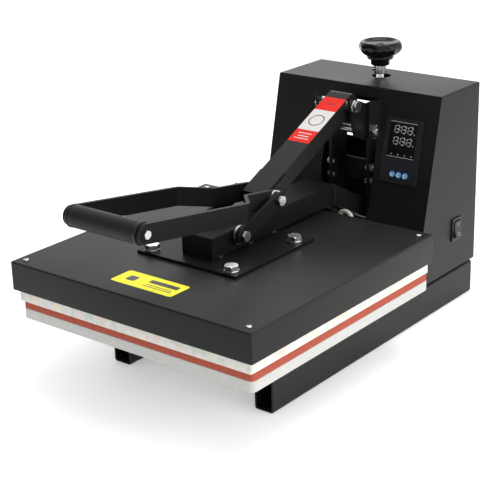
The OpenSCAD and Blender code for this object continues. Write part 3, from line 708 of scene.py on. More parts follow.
class PressStage(bpy.types.PropertyGroup):
    """Camera and light"""

    azimuth: FloatProperty(
        name="Azimuth", description="Camera's turn to the right of the front",
        subtype="ANGLE", default=0.67841,
    )
    elevation: FloatProperty(
        name="Elevation", description="Camera's height above the horizon",
        subtype="ANGLE", default=0.36251,
    )
    roll: FloatProperty(
        name="Roll", description="Camera's roll",
        subtype="ANGLE", default=-0.02723,
    )
    lens: FloatProperty(
        name="Lens", description="Focal length on a 36 mm sensor",
        unit="CAMERA", default=97.0,
    )
    place: FloatVectorProperty(
        name="Camera place", description="Where the camera stands",
        subtype="XYZ", default=(1.05892, -1.35509, 0.78908),
    )
    overhead: FloatProperty(
        name="Overhead light", description="Power of the large overhead box",
        default=20.0,
    )
    side: FloatProperty(
        name="Side light", description="Power of the box on the right",
        default=14.0,
    )
    back: FloatProperty(
        name="Back light", description="Power of the box at the back left",
        default=7.0,
    )
    sky: FloatProperty(
        name="Surroundings", description="Strength of the pale surroundings",
        default=1.0,
    )
    shade: FloatProperty(
        name="Shaded side", description="What is left of them at the front left",
        default=0.12,
    )


# ------------------------------------------------------------------ operators


class PRESS_OT_stage(bpy.types.Operator):
    """Camera, pale floor and soft studio light"""

    bl_idname = "press.stage"
    bl_label = "Stage"
    bl_options = {"REGISTER", "UNDO"}

    def lamp(self, name, place, target, size, power, colour=(1, 1, 1)):
        bpy.ops.object.light_add(type="AREA", location=place)
        lamp = bpy.context.object
        lamp.name = name
        lamp.rotation_euler = (Vector(target) - Vector(place)).to_track_quat("-Z", "Y").to_euler()
        lamp.data.shape = "RECTANGLE"
        lamp.data.size, lamp.data.size_y = size
        lamp.data.energy = power
        lamp.data.color = colour
        lamp.visible_camera = False

    def execute(self, context):
        stage = context.scene.press_stage
        level = math.cos(stage.elevation)
        back = Vector((
            math.sin(stage.azimuth) * level,
            -math.cos(stage.azimuth) * level,
            math.sin(stage.elevation),
        ))
        right = Vector((math.cos(stage.azimuth), math.sin(stage.azimuth), 0))
        upright = Matrix((right, back.cross(right), back)).transposed()
        bpy.ops.object.camera_add()
        camera = bpy.context.object
        camera.name = "camera"
        turned = upright @ Matrix.Rotation(stage.roll, 3, "Z")
        camera.matrix_world = Matrix.Translation(stage.place) @ turned.to_4x4()
        camera.data.lens = stage.lens
        camera.data.sensor_width = 36
        context.scene.camera = camera

        bpy.ops.mesh.primitive_plane_add(size=14)
        floor = bpy.context.object
        floor.name = "floor"
        white = (1, 1, 1, 1)
        paper = Finish(
            "floor_paper", Specular_IOR_Level=0.2, Emission_Color=white, Emission_Strength=0.3
        )
        shade = paper.noise(0.6, 2)
        floor.data.materials.append(paper.wear(
            Base_Color=paper.mix(shade, (0.9, 0.9, 0.9), (0.93, 0.93, 0.93)),
            Roughness=shade * 0.1 + 0.75,
        ))

        warm, foot, heart = (1, 0.98, 0.94), (0, 0.1, 0.1), (0, 0.1, 0.2)
        self.lamp("overhead_box", (0.2, 0.3, 2.2), foot, (1.8, 1.4), stage.overhead)
        self.lamp("side_box", (2.2, 0.4, 0.9), heart, (1.4, 1.2), stage.side, warm)
        self.lamp("back_box", (-1.6, 2.2, 1.5), heart, (1.8, 1.2), stage.back)
        self.surroundings(context.scene, stage)
        context.scene.view_settings.view_transform = "Standard"
        return {"FINISHED"}

    def surroundings(self, scene, stage):
        """White all round, falling off to a dark flag that stands at the front left"""
        world = bpy.data.worlds.new("surroundings")
        world.use_nodes = True
        tree = world.node_tree
        sky = tree.nodes["Background"]
        place = tree.nodes.new("ShaderNodeTexCoord")
        facing = tree.nodes.new("ShaderNodeVectorMath")
        facing.operation = "DOT_PRODUCT"
        front_left = (-0.587, -0.809, 0.0)
        facing.inputs[1].default_value = front_left
        fall = tree.nodes.new("ShaderNodeMapRange")
        fall.interpolation_type = "SMOOTHSTEP"
        for socket, value in ((1, 0.25), (2, 0.8), (3, 1.0), (4, stage.shade)):
            fall.inputs[socket].default_value = value
        tone = tree.nodes.new("ShaderNodeMix")
        tone.data_type = "RGBA"
        tone.inputs[MIX_A].default_value = (0, 0, 0, 1)
        tone.inputs[MIX_B].default_value = (1, 1, 1, 1)
        tree.links.new(place.outputs["Generated"], facing.inputs[0])
        tree.links.new(facing.outputs["Value"], fall.inputs[0])
        tree.links.new(fall.outputs[0], tone.inputs[0])
        tree.links.new(tone.outputs[MIX_RESULT], sky.inputs["Color"])
        sky.inputs["Strength"].default_value = stage.sky
        scene.world = world


class PRESS_OT_base(bpy.types.Operator):
    """Painted rails, cross bars, columns and the screw bracket"""

    bl_idname = "press.base"
    bl_label = "Base frame"
    bl_options = {"REGISTER", "UNDO"}

    def execute(self, context):
        bars = ("front_cross_bar", "rear_cross_bar")
        for node in ("left_rail", "right_rail", *bars, "column_beam"):
            softened(node, 0.4)
        for node in ("columns", "column_tie", "screw_bracket"):
            softened(node, 0.6)
        right = drawn("front_cross_bar")[1][0]
        for x, hand in ((-right, "left"), (right, "right")):
            for bar in bars:
                (_, front, _), (_, rear, top) = drawn(bar)
                name = f"{bar}_weld_{hand}"
                weld_bead(name, "frame", (x, front + 2, top), (x, rear - 2, top), 5)
        return {"FINISHED"}


class PRESS_OT_platens(bpy.types.Operator):
    """Lower platen, silicone pad and heated platen"""

    bl_idname = "press.platens"
    bl_label = "Platens"
    bl_options = {"REGISTER", "UNDO"}

    def execute(self, context):
        softened("lower_platen", 0.9, segments=3)
        softened("heat_platen", 1.1, segments=3)
        pad = merged_copy("silicone_pad", "silicone_pad_finished")
        modify(pad, "BEVEL", width=0.7 * MM, segments=2, limit_method="ANGLE")
        low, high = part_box("silicone_pad")
        with editing(pad, edges=lambda a, b: (a - b).length > 0.1):
            bpy.ops.mesh.subdivide(number_cuts=40)
        wander = 0.00022
        centre = (low.y + high.y) / 2
        for vertex in pad.data.vertices:
            sway = noise.noise(vertex.co * 42) * wander - wander
            outwards = Vector((vertex.co.x, vertex.co.y - centre, 0)).normalized()
            vertex.co += outwards * sway
        settle(pad, "silicone_pad_finished", "frame", "silicone_sponge", ["silicone_pad"])
        return {"FINISHED"}


class PRESS_OT_cover(bpy.types.Operator):
    """Folded sheet cover with its domed cross-head screws"""

    bl_idname = "press.cover"
    bl_label = "Platen cover"
    bl_options = {"REGISTER", "UNDO"}

    def execute(self, context):
        sizes = context.scene.press_sizes
        low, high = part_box("platen_cover")
        cover = block(low, high)
        with editing(cover, faces=lambda place, normal: normal.z < -0.5):
            bpy.ops.mesh.delete(type="FACE")
        skirt = low.z + MM
        with editing(cover, edges=lambda a, b: max(a.z, b.z) > skirt):
            bpy.ops.mesh.bevel(offset=sizes.bend_radius, segments=4, affect="EDGES")
        modify(cover, "SOLIDIFY", thickness=sizes.sheet, offset=-1, use_even_offset=True)
        name = "platen_cover_folded"
        settle(cover, name, "platen_arm", "cover_powder_coat", ["platen_cover"])
        screws = [pan_screw(place, UP, 4.0, 1.9, 12) for place in screw_places("cover_screws")]
        settle(screws, "cover_screws_pan", "platen_arm", "zinc_fastener", ["cover_screws"])
        return {"FINISHED"}


def screw_places(node):
    """The boxes of a node's loose solids, from left to right"""
    mesh = merged_copy(node, "screw_count")
    with editing(mesh):
        bpy.ops.mesh.separate(type="LOOSE")
    places = []
    for part in list(bpy.context.selected_objects):
        points = [vertex.co for vertex in part.data.vertices]
        low = Vector(min(point[i] for point in points) for i in range(3))
        high = Vector(max(point[i] for point in points) for i in range(3))
        places.append((low, high))
        bpy.data.objects.remove(part)
    return sorted(places, key=lambda corners: tuple(corners[0]))


def pan_screw(corners, direction, radius, head, recess_turn):
    """A domed screw head with a cross recess, its top at the far side of its solid's box"""
    low, high = corners
    centre = (low + high) / 2
    reach = max(low.dot(direction), high.dot(direction))
    centre += direction * (reach - centre.dot(direction))
    shank, edge = radius * 0.5, radius * 0.96
    arc = [math.radians(a) for a in (0, 18, 36, 54, 70, 82)]
    dome = [(radius * math.cos(a) ** 0.7, head * (0.25 + 0.75 * math.sin(a))) for a in arc]
    screw = lathe([(shank, -4), (shank, 0), (edge, 0), (radius, head * 0.12), *dome], 32)
    for turn in (0, 90):
        wing = Vector((radius * 0.5, radius * 0.11, head * 0.4)) * MM
        top = Vector((0, 0, head * MM))
        slot = block(top - wing, top + wing)
        slot.rotation_euler.z = math.radians(turn + recess_turn)
        cut(screw, slot)
    return aimed(screw, centre - direction * head * MM, direction)


class PRESS_OT_housing(bpy.types.Operator):
    """Folded housing shell, its front and rear panels and their screws"""

    bl_idname = "press.housing"
    bl_label = "Housing"
    bl_options = {"REGISTER", "UNDO"}

    def execute(self, context):
        sizes = context.scene.press_sizes
        low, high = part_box("housing_shell")
        slope = -FACE_IN.z / FACE_IN.y
        shell = block(low, high)
        for vertex in shell.data.vertices:
            place = vertex.co + shell.location
            if place.y < (low.y + high.y) / 2 and place.z > (low.z + high.z) / 2:
                vertex.co.y += slope * (high.z - low.z)
        with editing(shell, faces=lambda place, normal: abs(normal.y) > 0.5 or normal.z < -0.5):
            bpy.ops.mesh.delete(type="FACE")
        shoulder = high.z - MM
        with editing(shell, edges=lambda a, b: min(a.z, b.z) > shoulder and abs(a.x - b.x) < MM):
            bpy.ops.mesh.bevel(offset=sizes.bend_radius, segments=4, affect="EDGES")
        modify(shell, "SOLIDIFY", thickness=sizes.sheet, offset=-1, use_even_offset=True)
        screw_y, hole_r = 565, 14
        hole = at(0, screw_y, high.z / MM)
        cut(shell, aimed(lathe([(hole_r, -8), (hole_r, 8)], 64), hole))
        switch_low, switch_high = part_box("switch_frame")
        rim = 2 * MM
        inside = Vector((high.x - 5 * MM, switch_low.y + rim, switch_low.z + rim))
        outside = Vector((high.x + 5 * MM, switch_high.y - rim, switch_high.z - rim))
        cut(shell, block(inside, outside))
        settle(shell, "housing_shell_folded", "frame", "black_powder_coat", ["housing_shell"])
        softened("front_panel", 0.35)
        softened("rear_panel", 0.35)
        back = Vector((0, 1, 0))
        screws = [pan_screw(place, back, 3.5, 2, 20) for place in screw_places("panel_screws")]
        settle(screws, "panel_screws_pan", "frame", "black_plastic", ["panel_screws"])
        return {"FINISHED"}


class PRESS_OT_arm(bpy.types.Operator):
    """Square tube of the platen arm with its plate, cheeks and welds"""

    bl_idname = "press.arm"
    bl_label = "Platen arm"
    bl_options = {"REGISTER", "UNDO"}

    def execute(self, context):
        # Painted shade: the arm tube, end cap and plate take the dimmed copy of the black coat
        paint = coat("arm_paint")
        softened("arm_tube", 0.3, finish=paint)
        softened("arm_end_cap", 0.3, finish=paint)
        softened("base_plate", 0.7, coat_edge_highlight_and_wear(), finish=paint)
        softened("hinge_cheeks", 0.7, coat_edge_highlight_and_wear())
        softened("hinge_barrel", 0.5)
        (_, front, bottom), (side, rear, top) = drawn("arm_tube")
        side += 0.4
        plate = drawn("base_plate")[1][2] + 0.6
        run = 9
        for x, hand in ((-side, "left"), (side, "right")):
            for number, ahead in enumerate((8, 69, 119), 1):
                start, end = (x, front + ahead, plate), (x, front + ahead + run, plate)
                weld_bead(f"plate_weld_{hand}_{number}", "platen_arm", start, end, 5.5)
            start, end = (x, rear, bottom + 4), (x, rear, top - 4)
            weld_bead(f"cheek_weld_{hand}", "platen_arm", start, end, 4.5)
        start, end = (-12, front - 0.4, plate), (12, front - 0.4, plate)
        weld_bead("plate_weld_front", "platen_arm", start, end, 4)
        return {"FINISHED"}


class PRESS_OT_handle(bpy.types.Operator):
    """Folded handle arm, its flat bars and the sleeved grip"""

    bl_idname = "press.handle"
    bl_label = "Handle"
    bl_options = {"REGISTER", "UNDO"}

    def execute(self, context):
        softened("handle_arm", 0.9, segments=3)
        # Painted shade: the handle bars take the dimmed copy of the black coat
        for node in ("left_handle_bar", "right_handle_bar"):
            softened(node, 0.7, coat_edge_highlight_and_wear(), finish=coat("arm_paint"))
        low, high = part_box("grip")
        half = (high.x - low.x) / 2 / MM
        radius = (high.z - low.z) / 2 / MM
        ring = 3.0
        sleeve_r = radius - 0.5
        rim_r, bevel_r = sleeve_r - 1.6, sleeve_r - 0.4
        start, end = -half + ring, half - ring
        sleeve = [(rim_r, start), (bevel_r, start + 0.4), (sleeve_r, start + 1.6)]
        steps = 10
        sleeve += [(sleeve_r, start + (end - start) * i / steps) for i in range(1, steps)]
        sleeve += [(sleeve_r, end - 1.6), (bevel_r, end - 0.4), (rim_r, end)]
        across = Vector((1, 0, 0))
        grip = aimed(lathe(sleeve, 72), middle("grip"), across)
        settle(grip, "grip_sleeve", "handle", "grip_rubber", ["grip"], angle=50)
        collar = [
            (radius - 1.2, 0), (radius - 0.2, 0.3), (radius, 0.9), (radius, ring - 0.9),
            (radius - 0.2, ring - 0.3), (radius - 1.2, ring),
        ]
        for place, hand in ((-half, "left"), (half - ring, "right")):
            end_ring = aimed(lathe(collar, 72), middle("grip") + across * (place * MM), across)
            settle(end_ring, f"grip_ring_{hand}", "handle", "black_plastic", angle=50)
        softened("stop_bolt", 0.5)
        return {"FINISHED"}


class PRESS_OT_linkage(bpy.types.Operator):
    """Toggle links, pressure lever and its nut"""

    bl_idname = "press.linkage"
    bl_label = "Linkage"
    bl_options = {"REGISTER", "UNDO"}

    def execute(self, context):
        # Painted shade: the toggle links take the dimmed copy of the black coat
        softened("toggle_links", 0.7, coat_edge_highlight_and_wear(), finish=coat("arm_paint"))
        softened("lever_cheeks", 0.6, coat_edge_highlight_and_wear())
        softened("screw_nut", 0.4)
        return {"FINISHED"}


class PRESS_OT_fasteners(bpy.types.Operator):
    """Zinc-plated bolts, washers, nuts, pins and studs"""

    bl_idname = "press.fasteners"
    bl_label = "Fasteners"
    bl_options = {"REGISTER", "UNDO"}

    def execute(self, context):
        for node in (
            "platen_studs", "frame_screws", "arm_hinge_pin", "lever_pin", "pivot_nuts",
            "plate_bolts", "lower_link_bolt", "link_spacers", "handle_pivot_bolt",
            "upper_link_bolts", "grip_bolts",
        ):
            softened(node, 0.3)
        return {"FINISHED"}


def knob_shape(knob, lobes, flutes, high, radius):
    """Presses the finger grooves into the cap and the flutes into the hub"""
    cap_low, cap_high, hub_top = 0.45 * high, 0.97 * high, 0.4 * high
    groove, flute = 0.0017, 0.0006
    for vertex in knob.data.vertices:
        x, y, z = vertex.co
        reach = math.hypot(x, y)
        if reach < 0.2 * radius:
            continue
        turn = math.atan2(y, x)
        depth = 0.0
        if cap_low < z < cap_high and reach > 0.8 * radius:
            height = (z - cap_low) / (cap_high - cap_low)
            dip = (0.5 + 0.5 * math.cos(lobes * turn)) ** 1.3
            depth += groove * dip * math.sin(math.pi * height)
        if z < hub_top and 0.5 * radius < reach < 0.64 * radius:
            depth += flute * (0.5 + 0.5 * math.cos(flutes * turn))
        share = (reach - depth) / reach
        vertex.co.x, vertex.co.y = x * share, y * share


class PRESS_OT_knob(bpy.types.Operator):
    """Lobed pressure knob with its collar and threaded screw"""

    bl_idname = "press.knob"
    bl_label = "Pressure knob"
    bl_options = {"REGISTER", "UNDO"}

    def execute(self, context):
        sizes = context.scene.press_sizes
        low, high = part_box("pressure_knob")
        radius = (high.x - low.x) / 2 / MM
        tall = (high.z - low.z) / MM
        foot = Vector((middle("pressure_knob").x, middle("pressure_knob").y, low.z))
        outline = [
            (0.33, 0), (0.4, 0.01), (0.435, 0.04), (0.44, 0.2), (0.45, 0.24), (0.56, 0.26),
            (0.6, 0.285), (0.61, 0.31), (0.61, 0.37), (0.6, 0.395), (0.63, 0.41), (0.75, 0.45),
            (0.87, 0.53), (0.95, 0.61), (0.99, 0.69), (1.0, 0.75), (0.995, 0.81), (0.97, 0.88),
            (0.925, 0.945), (0.87, 0.985), (0.82, 1.0), (0.77, 0.99), (0.73, 0.965),
            (0.68, 0.93), (0.6, 0.89), (0.5, 0.865), (0.38, 0.855), (0.24, 0.85), (0.2, 0.845),
            (0.19, 0.82), (0.1, 0.815),
        ]
        sides = sizes.knob_lobes * 22
        knob = lathe([(r * radius, z * tall) for r, z in outline], sides)
        knob_shape(knob, sizes.knob_lobes, sizes.knob_flutes, tall * MM, radius * MM)
        aimed(knob, foot)
        settle(knob, "pressure_knob_lobed", "pressure_knob", "knob_plastic", ["pressure_knob"], 60)
        self.thread(sizes.thread_pitch, foot)
        self.collars(foot)
        return {"FINISHED"}

    def thread(self, pitch, foot):
        """One turn of a V thread, repeated down the screw and closed at both ends"""
        low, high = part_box("pressure_screw")
        outside, depth, steps = 6.0 * MM, 0.75 * MM, 6
        bpy.ops.mesh.primitive_circle_add(vertices=32, radius=outside, fill_type="NOTHING")
        thread = bpy.context.object
        with editing(thread):
            for _ in range(steps):
                extruded(0, 0, pitch / steps)
        for vertex in thread.data.vertices:
            turn = math.atan2(vertex.co.y, vertex.co.x) / math.tau
            phase = (vertex.co.z / pitch - turn) % 1
            share = 1 - depth / outside * (1 - abs(2 * phase - 1))
            vertex.co.x *= share
            vertex.co.y *= share
        turns = round((high.z - low.z) / pitch)
        modify(
            thread, "ARRAY", count=turns, use_relative_offset=False, use_constant_offset=True,
            constant_offset_displace=(0, 0, pitch), use_merge_vertices=True,
            merge_threshold=0.00001,
        )
        with editing(thread):
            bpy.ops.mesh.select_all(action="DESELECT")
            bpy.ops.mesh.select_mode(type="EDGE")
            bpy.ops.mesh.select_non_manifold(extend=False)
            bpy.ops.mesh.fill_holes(sides=0)
            face_outwards()
        aimed(thread, Vector((foot.x, foot.y, high.z - turns * pitch)))
        name = "pressure_screw_thread"
        settle(thread, name, "pressure_knob", "turned_steel", ["pressure_screw"], 50)

    def collars(self, foot):
        """The stops above and below the bracket, in black paint as painted shade, and the knob's
        collar with its set screw
        """
        low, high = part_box("screw_bracket")
        gap, chamfer = 0.3, 0.6
        stop_h = 6
        stops = []
        for z in (high.z + gap * MM, low.z - (gap + stop_h) * MM):
            stop = lathe(chamfered(11, stop_h, chamfer), 64)
            stops.append(aimed(stop, Vector((foot.x, foot.y, z))))
        # Painted shade: the turned-steel stops take the black frame paint, so the throat stays dark
        paint = coat("frame_paint")
        settle(stops, "screw_stops", "pressure_knob", "turned_steel", finish=paint)
        collar_r, collar_h = 9.5, 12
        collar = lathe(chamfered(collar_r, collar_h, chamfer), 64)
        aimed(collar, foot - Vector((0, 0, collar_h * MM)))
        set_screw = [(2.6, 0), (2.9, 0.3), (2.9, 3.2), (2.5, 3.6), (1.6, 3.6), (1.5, 1.8)]
        lean = Vector((-0.8, -0.6, 0)).normalized()
        spot = foot + lean * (collar_r - 0.6) * MM - Vector((0, 0, collar_h * 0.45 * MM))
        pieces = [collar, aimed(lathe(set_screw, 24), spot, lean)]
        settle(pieces, "screw_collar", "pressure_knob", "zinc_fastener")


class PRESS_OT_controller(bpy.types.Operator):
    """Temperature and time controller: bezel, window, digits and printed lines"""

    bl_idname = "press.controller"
    bl_label = "Controller"
    bl_options = {"REGISTER", "UNDO"}

    def segment(self, length, width):
        """One bar of a digit: a long hexagon lying along X"""
        bpy.ops.mesh.primitive_circle_add(vertices=6, radius=1, fill_type="NGON")
        bar = bpy.context.object
        half, tip = length / 2, width / 2
        for vertex in bar.data.vertices:
            side = vertex.co.y
            vertex.co.x = math.copysign(half - (tip if abs(side) > 0.5 else 0), vertex.co.x)
            vertex.co.y = math.copysign(tip, side) if abs(side) > 0.5 else 0
        bar.scale = (MM, MM, MM)
        return thickened(applied(bar), 0.12 * MM)

    def digit(self, x, y, width, height):
        """An eight: three level bars and four upright ones, leaning a little to the right"""
        bar = 1.9
        reach = height / 2 - bar / 2
        span = width / 2 - bar / 2
        bars = []
        for up in (-reach, 0, reach):
            piece = self.segment(width - bar * 1.25, bar)
            piece.location = Vector((x, y + up, 0)) * MM
            bars.append(piece)
        for side in (-span, span):
            for up in (-reach / 2, reach / 2):
                piece = self.segment(reach - bar * 0.25, bar)
                piece.rotation_euler.z = math.pi / 2
                piece.location = Vector((x + side, y + up, 0)) * MM
                bars.append(piece)
        whole = applied(joined(bars))
        lean = 0.1
        for vertex in whole.data.vertices:
            vertex.co.x += lean * (vertex.co.y - y * MM)
        return whole

    def execute(self, context):
        softened("controller_bezel", 0.6, segments=3)
        softened("display_window", 0.15)
        softened("controller_case", 0.8)
        flat = face_matrix("display_window", proud=0.01)
        digits = []
        for row in (14.5, -2.0):
            for column in (-10.2, 0.6, 11.4):
                digits.append(self.digit(column, row, 9, 11.8))
            dot = rounded_sheet(1.7, 1.7, 0.5, 0.12)
            dot.location = Vector((18.2, row - 4.8, 0)) * MM
            digits.append(dot)
        digits = placed(joined(digits), flat)
        grey = moulding("display_segments")
        settle(digits, "display_digits", "frame", "bezel_plastic", angle=20, finish=grey)

        low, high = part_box("display_window")
        wide = (high.x - low.x) / MM
        tall = (high.z - low.z) / MM / FACE_UP.z
        lines = []
        for up in (tall / 2 - 0.8, 0.8 - tall / 2):
            line = rounded_sheet(wide - 1.2, 0.7, 0.3, 0.1)
            line.location.y = up * MM
            lines.append(line)
        for column in (-15, -4.1, 6.8, 17.7):
            dash = rounded_sheet(2.6, 1.0, 0.4, 0.1)
            dash.location = Vector((column, 4.2 - tall / 2, 0)) * MM
            lines.append(dash)
        lines = placed(joined(lines), flat)
        ink = moulding("printed_line")
        settle(lines, "display_lines", "frame", "bezel_plastic", angle=20, finish=ink)
        return {"FINISHED"}


class PRESS_OT_buttons(bpy.types.Operator):
    """Three dished push buttons with plain arrow and ring signs"""

    bl_idname = "press.buttons"
    bl_label = "Push buttons"
    bl_options = {"REGISTER", "UNDO"}

    def sign(self, number):
        """A ring on the first button, and a triangle down and up on the others"""
        if number == 1:
            return ring(1.5, 0.28, 32)
        bpy.ops.mesh.primitive_circle_add(vertices=3, radius=1.9 * MM, fill_type="NGON")
        arrow = bpy.context.object
        if number == 2:
            arrow.rotation_euler.z = math.pi
        return modify(thickened(arrow, 0.25 * MM), "BEVEL", width=0.08 * MM, segments=1)

    def execute(self, context):
        cap_h, dish, pale_r = 6.3, 0.62, 3.2
        cap = [
            (4.45, -cap_h), (4.5, -cap_h + 0.2), (4.5, -0.7), (4.4, -0.35), (4.15, -0.1),
            (3.8, 0), (3.45, -0.1), (3.15, -0.35), (2.8, -0.5), (1.6, -0.6), (0.6, -dish),
        ]
        for number in (1, 2, 3):
            node = f"button_{number}"
            body = body_of(node)
            button = lathe(cap, 48)
            for name in ("button_blue", "button_pale"):
                button.data.materials.append(moulding(name))
            for face in button.data.polygons:
                far = math.hypot(face.center.x, face.center.y)
                if face.normal.z > 0.5 and (far < pale_r * MM or len(face.vertices) > 4):
                    face.material_index = 1
            placed(button, face_matrix(node))
            settle(button, f"{node}_cap", body, "button_blue", [node], 40)
            sign = placed(self.sign(number), face_matrix(node, proud=-dish))
            settle(sign, f"{node}_sign", body, "button_blue")
        return {"FINISHED"}


class PRESS_OT_switch(bpy.types.Operator):
    """Rocker switch in its frame, with plain ring and bar marks"""

    bl_idname = "press.switch"
    bl_label = "Mains switch"
    bl_options = {"REGISTER", "UNDO"}

    def execute(self, context):
        softened("switch_frame", 0.5, segments=3)
        softened("power_rocker", 0.5, segments=3)
        pivot = Vector(JOINTS["rocker_tilt"]["pos_m"])
        tilt, crown, reach = math.radians(14), 6 * MM, 7.5 * MM
        lower = pivot + Vector((crown + reach * math.tan(tilt), 0, -reach))
        upper = pivot + Vector((crown, 0, reach))
        ink = moulding("printed_line")
        off = aimed(ring(2.6, 0.3, 40), lower, Vector((math.cos(tilt), 0, math.sin(tilt))))
        settle(off, "rocker_ring_mark", "power_rocker", "black_plastic", finish=ink)
        low, high = upper - Vector((0.2, 0.45, 2.4)) * MM, upper + Vector((0.15, 0.45, 2.4)) * MM
        on = block(low, high, 0.1 * MM)
        settle(on, "rocker_bar_mark", "power_rocker", "black_plastic", finish=ink)
        return {"FINISHED"}


class PRESS_OT_rear(bpy.types.Operator):
    """Mains inlet with its blades, fuse holder, relay and terminal block"""

    bl_idname = "press.rear"
    bl_label = "Inlet and electrics"
    bl_options = {"REGISTER", "UNDO"}

    def execute(self, context):
        softened("mains_inlet", 0.5, segments=3)
        softened("fuse_holder", 0.5, segments=3)
        softened("terminal_block", 0.5)
        softened("solid_state_relay", 0.8)
        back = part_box("mains_inlet")[1].y
        centre = middle("mains_inlet")
        blades = []
        for x, z in ((-7, -3), (0, -5), (7, -3)):
            spot = Vector((centre.x + x * MM, back, centre.z + z * MM))
            root = spot - Vector((2.05, 16, 1.05)) * MM
            tip = spot + Vector((2.05, -3.9, 1.05)) * MM
            blades.append(block(root, tip, 0.3 * MM))
        settle(blades, "inlet_blades", "frame", "zinc_fastener")
        low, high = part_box("terminal_block")
        ways = 5
        pitch = (high.x - low.x) / ways
        heads = []
        for way in range(ways):
            spot = Vector((low.x + pitch * (way + 0.5), low.y + 4 * MM, middle("terminal_block").z))
            heads.append(pan_screw((spot, spot), Vector((0, -1, 0)), 2.6, 1.2, 15 * way))
        settle(heads, "terminal_screws", "frame", "zinc_fastener")
        return {"FINISHED"}


class PRESS_OT_labels(bpy.types.Operator):
    """Plain labels: a yellow one on the cover and a banded one on the handle arm"""

    bl_idname = "press.labels"
    bl_label = "Labels"
    bl_options = {"REGISTER", "UNDO"}

    def label(self, name, body, sheet, marks, place, paper, ink):
        """A sheet with its printed marks, moved from the ground to a matrix's place"""
        finish = moulding(paper)
        settle(placed(sheet, place), name, body, "black_powder_coat", finish=finish)
        marks = placed(joined(marks), place)
        finish = moulding(ink)
        settle(marks, f"{name}_marks", body, "black_powder_coat", finish=finish)

    def execute(self, context):
        thickness, ink_h = 0.15, 0.06
        place = Matrix.Translation(at(2.8, 47, drawn("platen_cover")[1][2]))
        bars = (19, 5.5, 46, 9), (19, -5, 40, 1.6), (19, -9.5, 46, 1.6), (-29, 0, 14, 14)
        marks = []
        for x, y, w, d in bars:
            mark = rounded_sheet(w, d, min(w, d) * 0.2, ink_h)
            mark.location = Vector((x, y, thickness)) * MM
            marks.append(mark)
        sheet = rounded_sheet(100, 38, 4, thickness)
        inks = ("label_yellow", "label_black")
        self.label("cover_label", "platen_arm", sheet, marks, place, *inks)

        pivot = Vector(JOINTS["handle_lift"]["pos_m"])
        upper = middle("upper_link_bolts")
        across = Vector((1, 0, 0))
        along = Vector((0, pivot.y - upper.y, pivot.z - upper.z)).normalized()
        out = across.cross(along)
        turned = Matrix((across, along, out)).transposed().to_4x4()
        arm_top = 8.5
        (left, _, _), (right, _, _) = drawn("handle_arm")
        wide = right - left - 10.2
        front = -98.5
        for name, length, *inks in (
            ("front", 26, "label_red", "label_white"),
            ("middle", 45, "label_white", "label_black"),
            ("rear", 29, "label_red", "label_black"),
        ):
            centre = pivot + along * (front + length / 2) * MM + out * arm_top * MM
            place = Matrix.Translation(centre) @ turned
            sheet = rounded_sheet(wide, length - 0.3, 1.2, thickness)
            marks = self.band_marks(name, ink_h)
            for mark in marks:
                mark.location.z = thickness * MM
            self.label(f"handle_label_{name}", "handle", sheet, marks, place, *inks)
            front += length
        return {"FINISHED"}

    def band_marks(self, name, ink_h):
        """Plain signs: lines on the front band, a ring on the middle, a bar on the rear"""
        if name == "middle":
            mark = ring(11, 0.8, 48)
            mark.scale.z = 0.08
            return [mark]
        if name == "rear":
            return [rounded_sheet(16, 1.6, 0.6, ink_h)]
        lines = []
        for back, wide in ((6, 22), (0, 18), (-5, 24)):
            line = rounded_sheet(wide, 1.5, 0.5, ink_h)
            line.location.y = back * MM
            lines.append(line)
        return lines


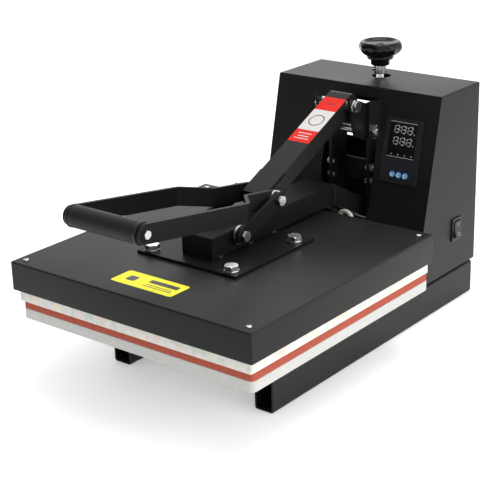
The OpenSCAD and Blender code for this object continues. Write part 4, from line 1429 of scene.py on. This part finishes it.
class PRESS_OT_lead(bpy.types.Operator):
    """Sleeved heater lead from the cover's back wall down to the hinge"""

    bl_idname = "press.lead"
    bl_label = "Heater lead"
    bl_options = {"REGISTER", "UNDO"}

    route = (
        (62, 388, 153), (62, 394, 154), (60, 401, 159), (55, 406, 164), (46, 410, 166),
        (36, 414, 164), (27, 420, 157), (20, 428, 148), (11, 437, 138), (4, 448, 128),
        (0, 460, 121), (0, 474, 116), (0, 490, 114),
    )

    def execute(self, context):
        line = bpy.data.curves.new("heater_lead", "CURVE")
        line.dimensions = "3D"
        line.bevel_depth = 2.95 * MM
        line.bevel_resolution = 5
        line.resolution_u = 8
        line.use_fill_caps = True
        spline = line.splines.new("NURBS")
        spline.points.add(len(self.route) - 1)
        for point, place in zip(spline.points, self.route):
            point.co = (*at(*place), 1)
        spline.use_endpoint_u = True
        spline.order_u = 4
        lead = bpy.data.objects.new("heater_lead_sleeve", line)
        bpy.context.collection.objects.link(lead)
        only(lead)
        bpy.ops.object.convert(target="MESH")
        lead = bpy.context.object
        lead.data.materials.clear()
        lead.data.materials.append(glass_fibre())
        bpy.ops.object.shade_smooth_by_angle(angle=math.radians(50))
        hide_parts("heater_lead")
        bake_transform(lead)
        return {"FINISHED"}


class PRESS_OT_plain_nodes(bpy.types.Operator):
    """Finishes for the pieces that the frame already shapes"""

    bl_idname = "press.plain_nodes"
    bl_label = "Inner pieces"
    bl_options = {"REGISTER", "UNDO"}

    def execute(self, context):
        for name, node in frame["nodes"].items():
            node.data.materials.clear()
            node.data.materials.append(finish_of(SLOTS[name]))
        return {"FINISHED"}


PIECES = (
    PRESS_OT_stage, PRESS_OT_plain_nodes, PRESS_OT_base, PRESS_OT_platens, PRESS_OT_cover,
    PRESS_OT_housing, PRESS_OT_arm, PRESS_OT_handle, PRESS_OT_linkage, PRESS_OT_fasteners,
    PRESS_OT_knob, PRESS_OT_controller, PRESS_OT_buttons, PRESS_OT_switch, PRESS_OT_rear,
    PRESS_OT_labels, PRESS_OT_lead,
)


class PRESS_PT_panel(bpy.types.Panel):
    """Lists the press's pieces in the sidebar"""

    bl_label = "Heat press"
    bl_idname = "PRESS_PT_panel"
    bl_space_type = "VIEW_3D"
    bl_region_type = "UI"
    bl_category = "Heat press"

    def draw(self, context):
        scene = context.scene
        for group in (scene.press_colours, scene.press_sizes, scene.press_stage):
            box = self.layout.box()
            for key in group.__annotations__:
                box.prop(group, key)
        for piece in PIECES:
            self.layout.operator(piece.bl_idname)


SETTINGS = {
    "press_colours": PressColours,
    "press_sizes": PressSizes,
    "press_stage": PressStage,
}


def register():
    for group in SETTINGS.values():
        bpy.utils.register_class(group)
    for name, group in SETTINGS.items():
        setattr(bpy.types.Scene, name, PointerProperty(type=group))
    for made in (*PIECES, PRESS_PT_panel):
        bpy.utils.register_class(made)


def unregister():
    for made in (PRESS_PT_panel, *reversed(PIECES)):
        bpy.utils.unregister_class(made)
    for name, group in SETTINGS.items():
        delattr(bpy.types.Scene, name)
        bpy.utils.unregister_class(group)


def main():
    register()
    for piece in PIECES:
        group, name = piece.bl_idname.split(".")
        getattr(getattr(bpy.ops, group), name)()


if __name__ == "__main__":
    main()
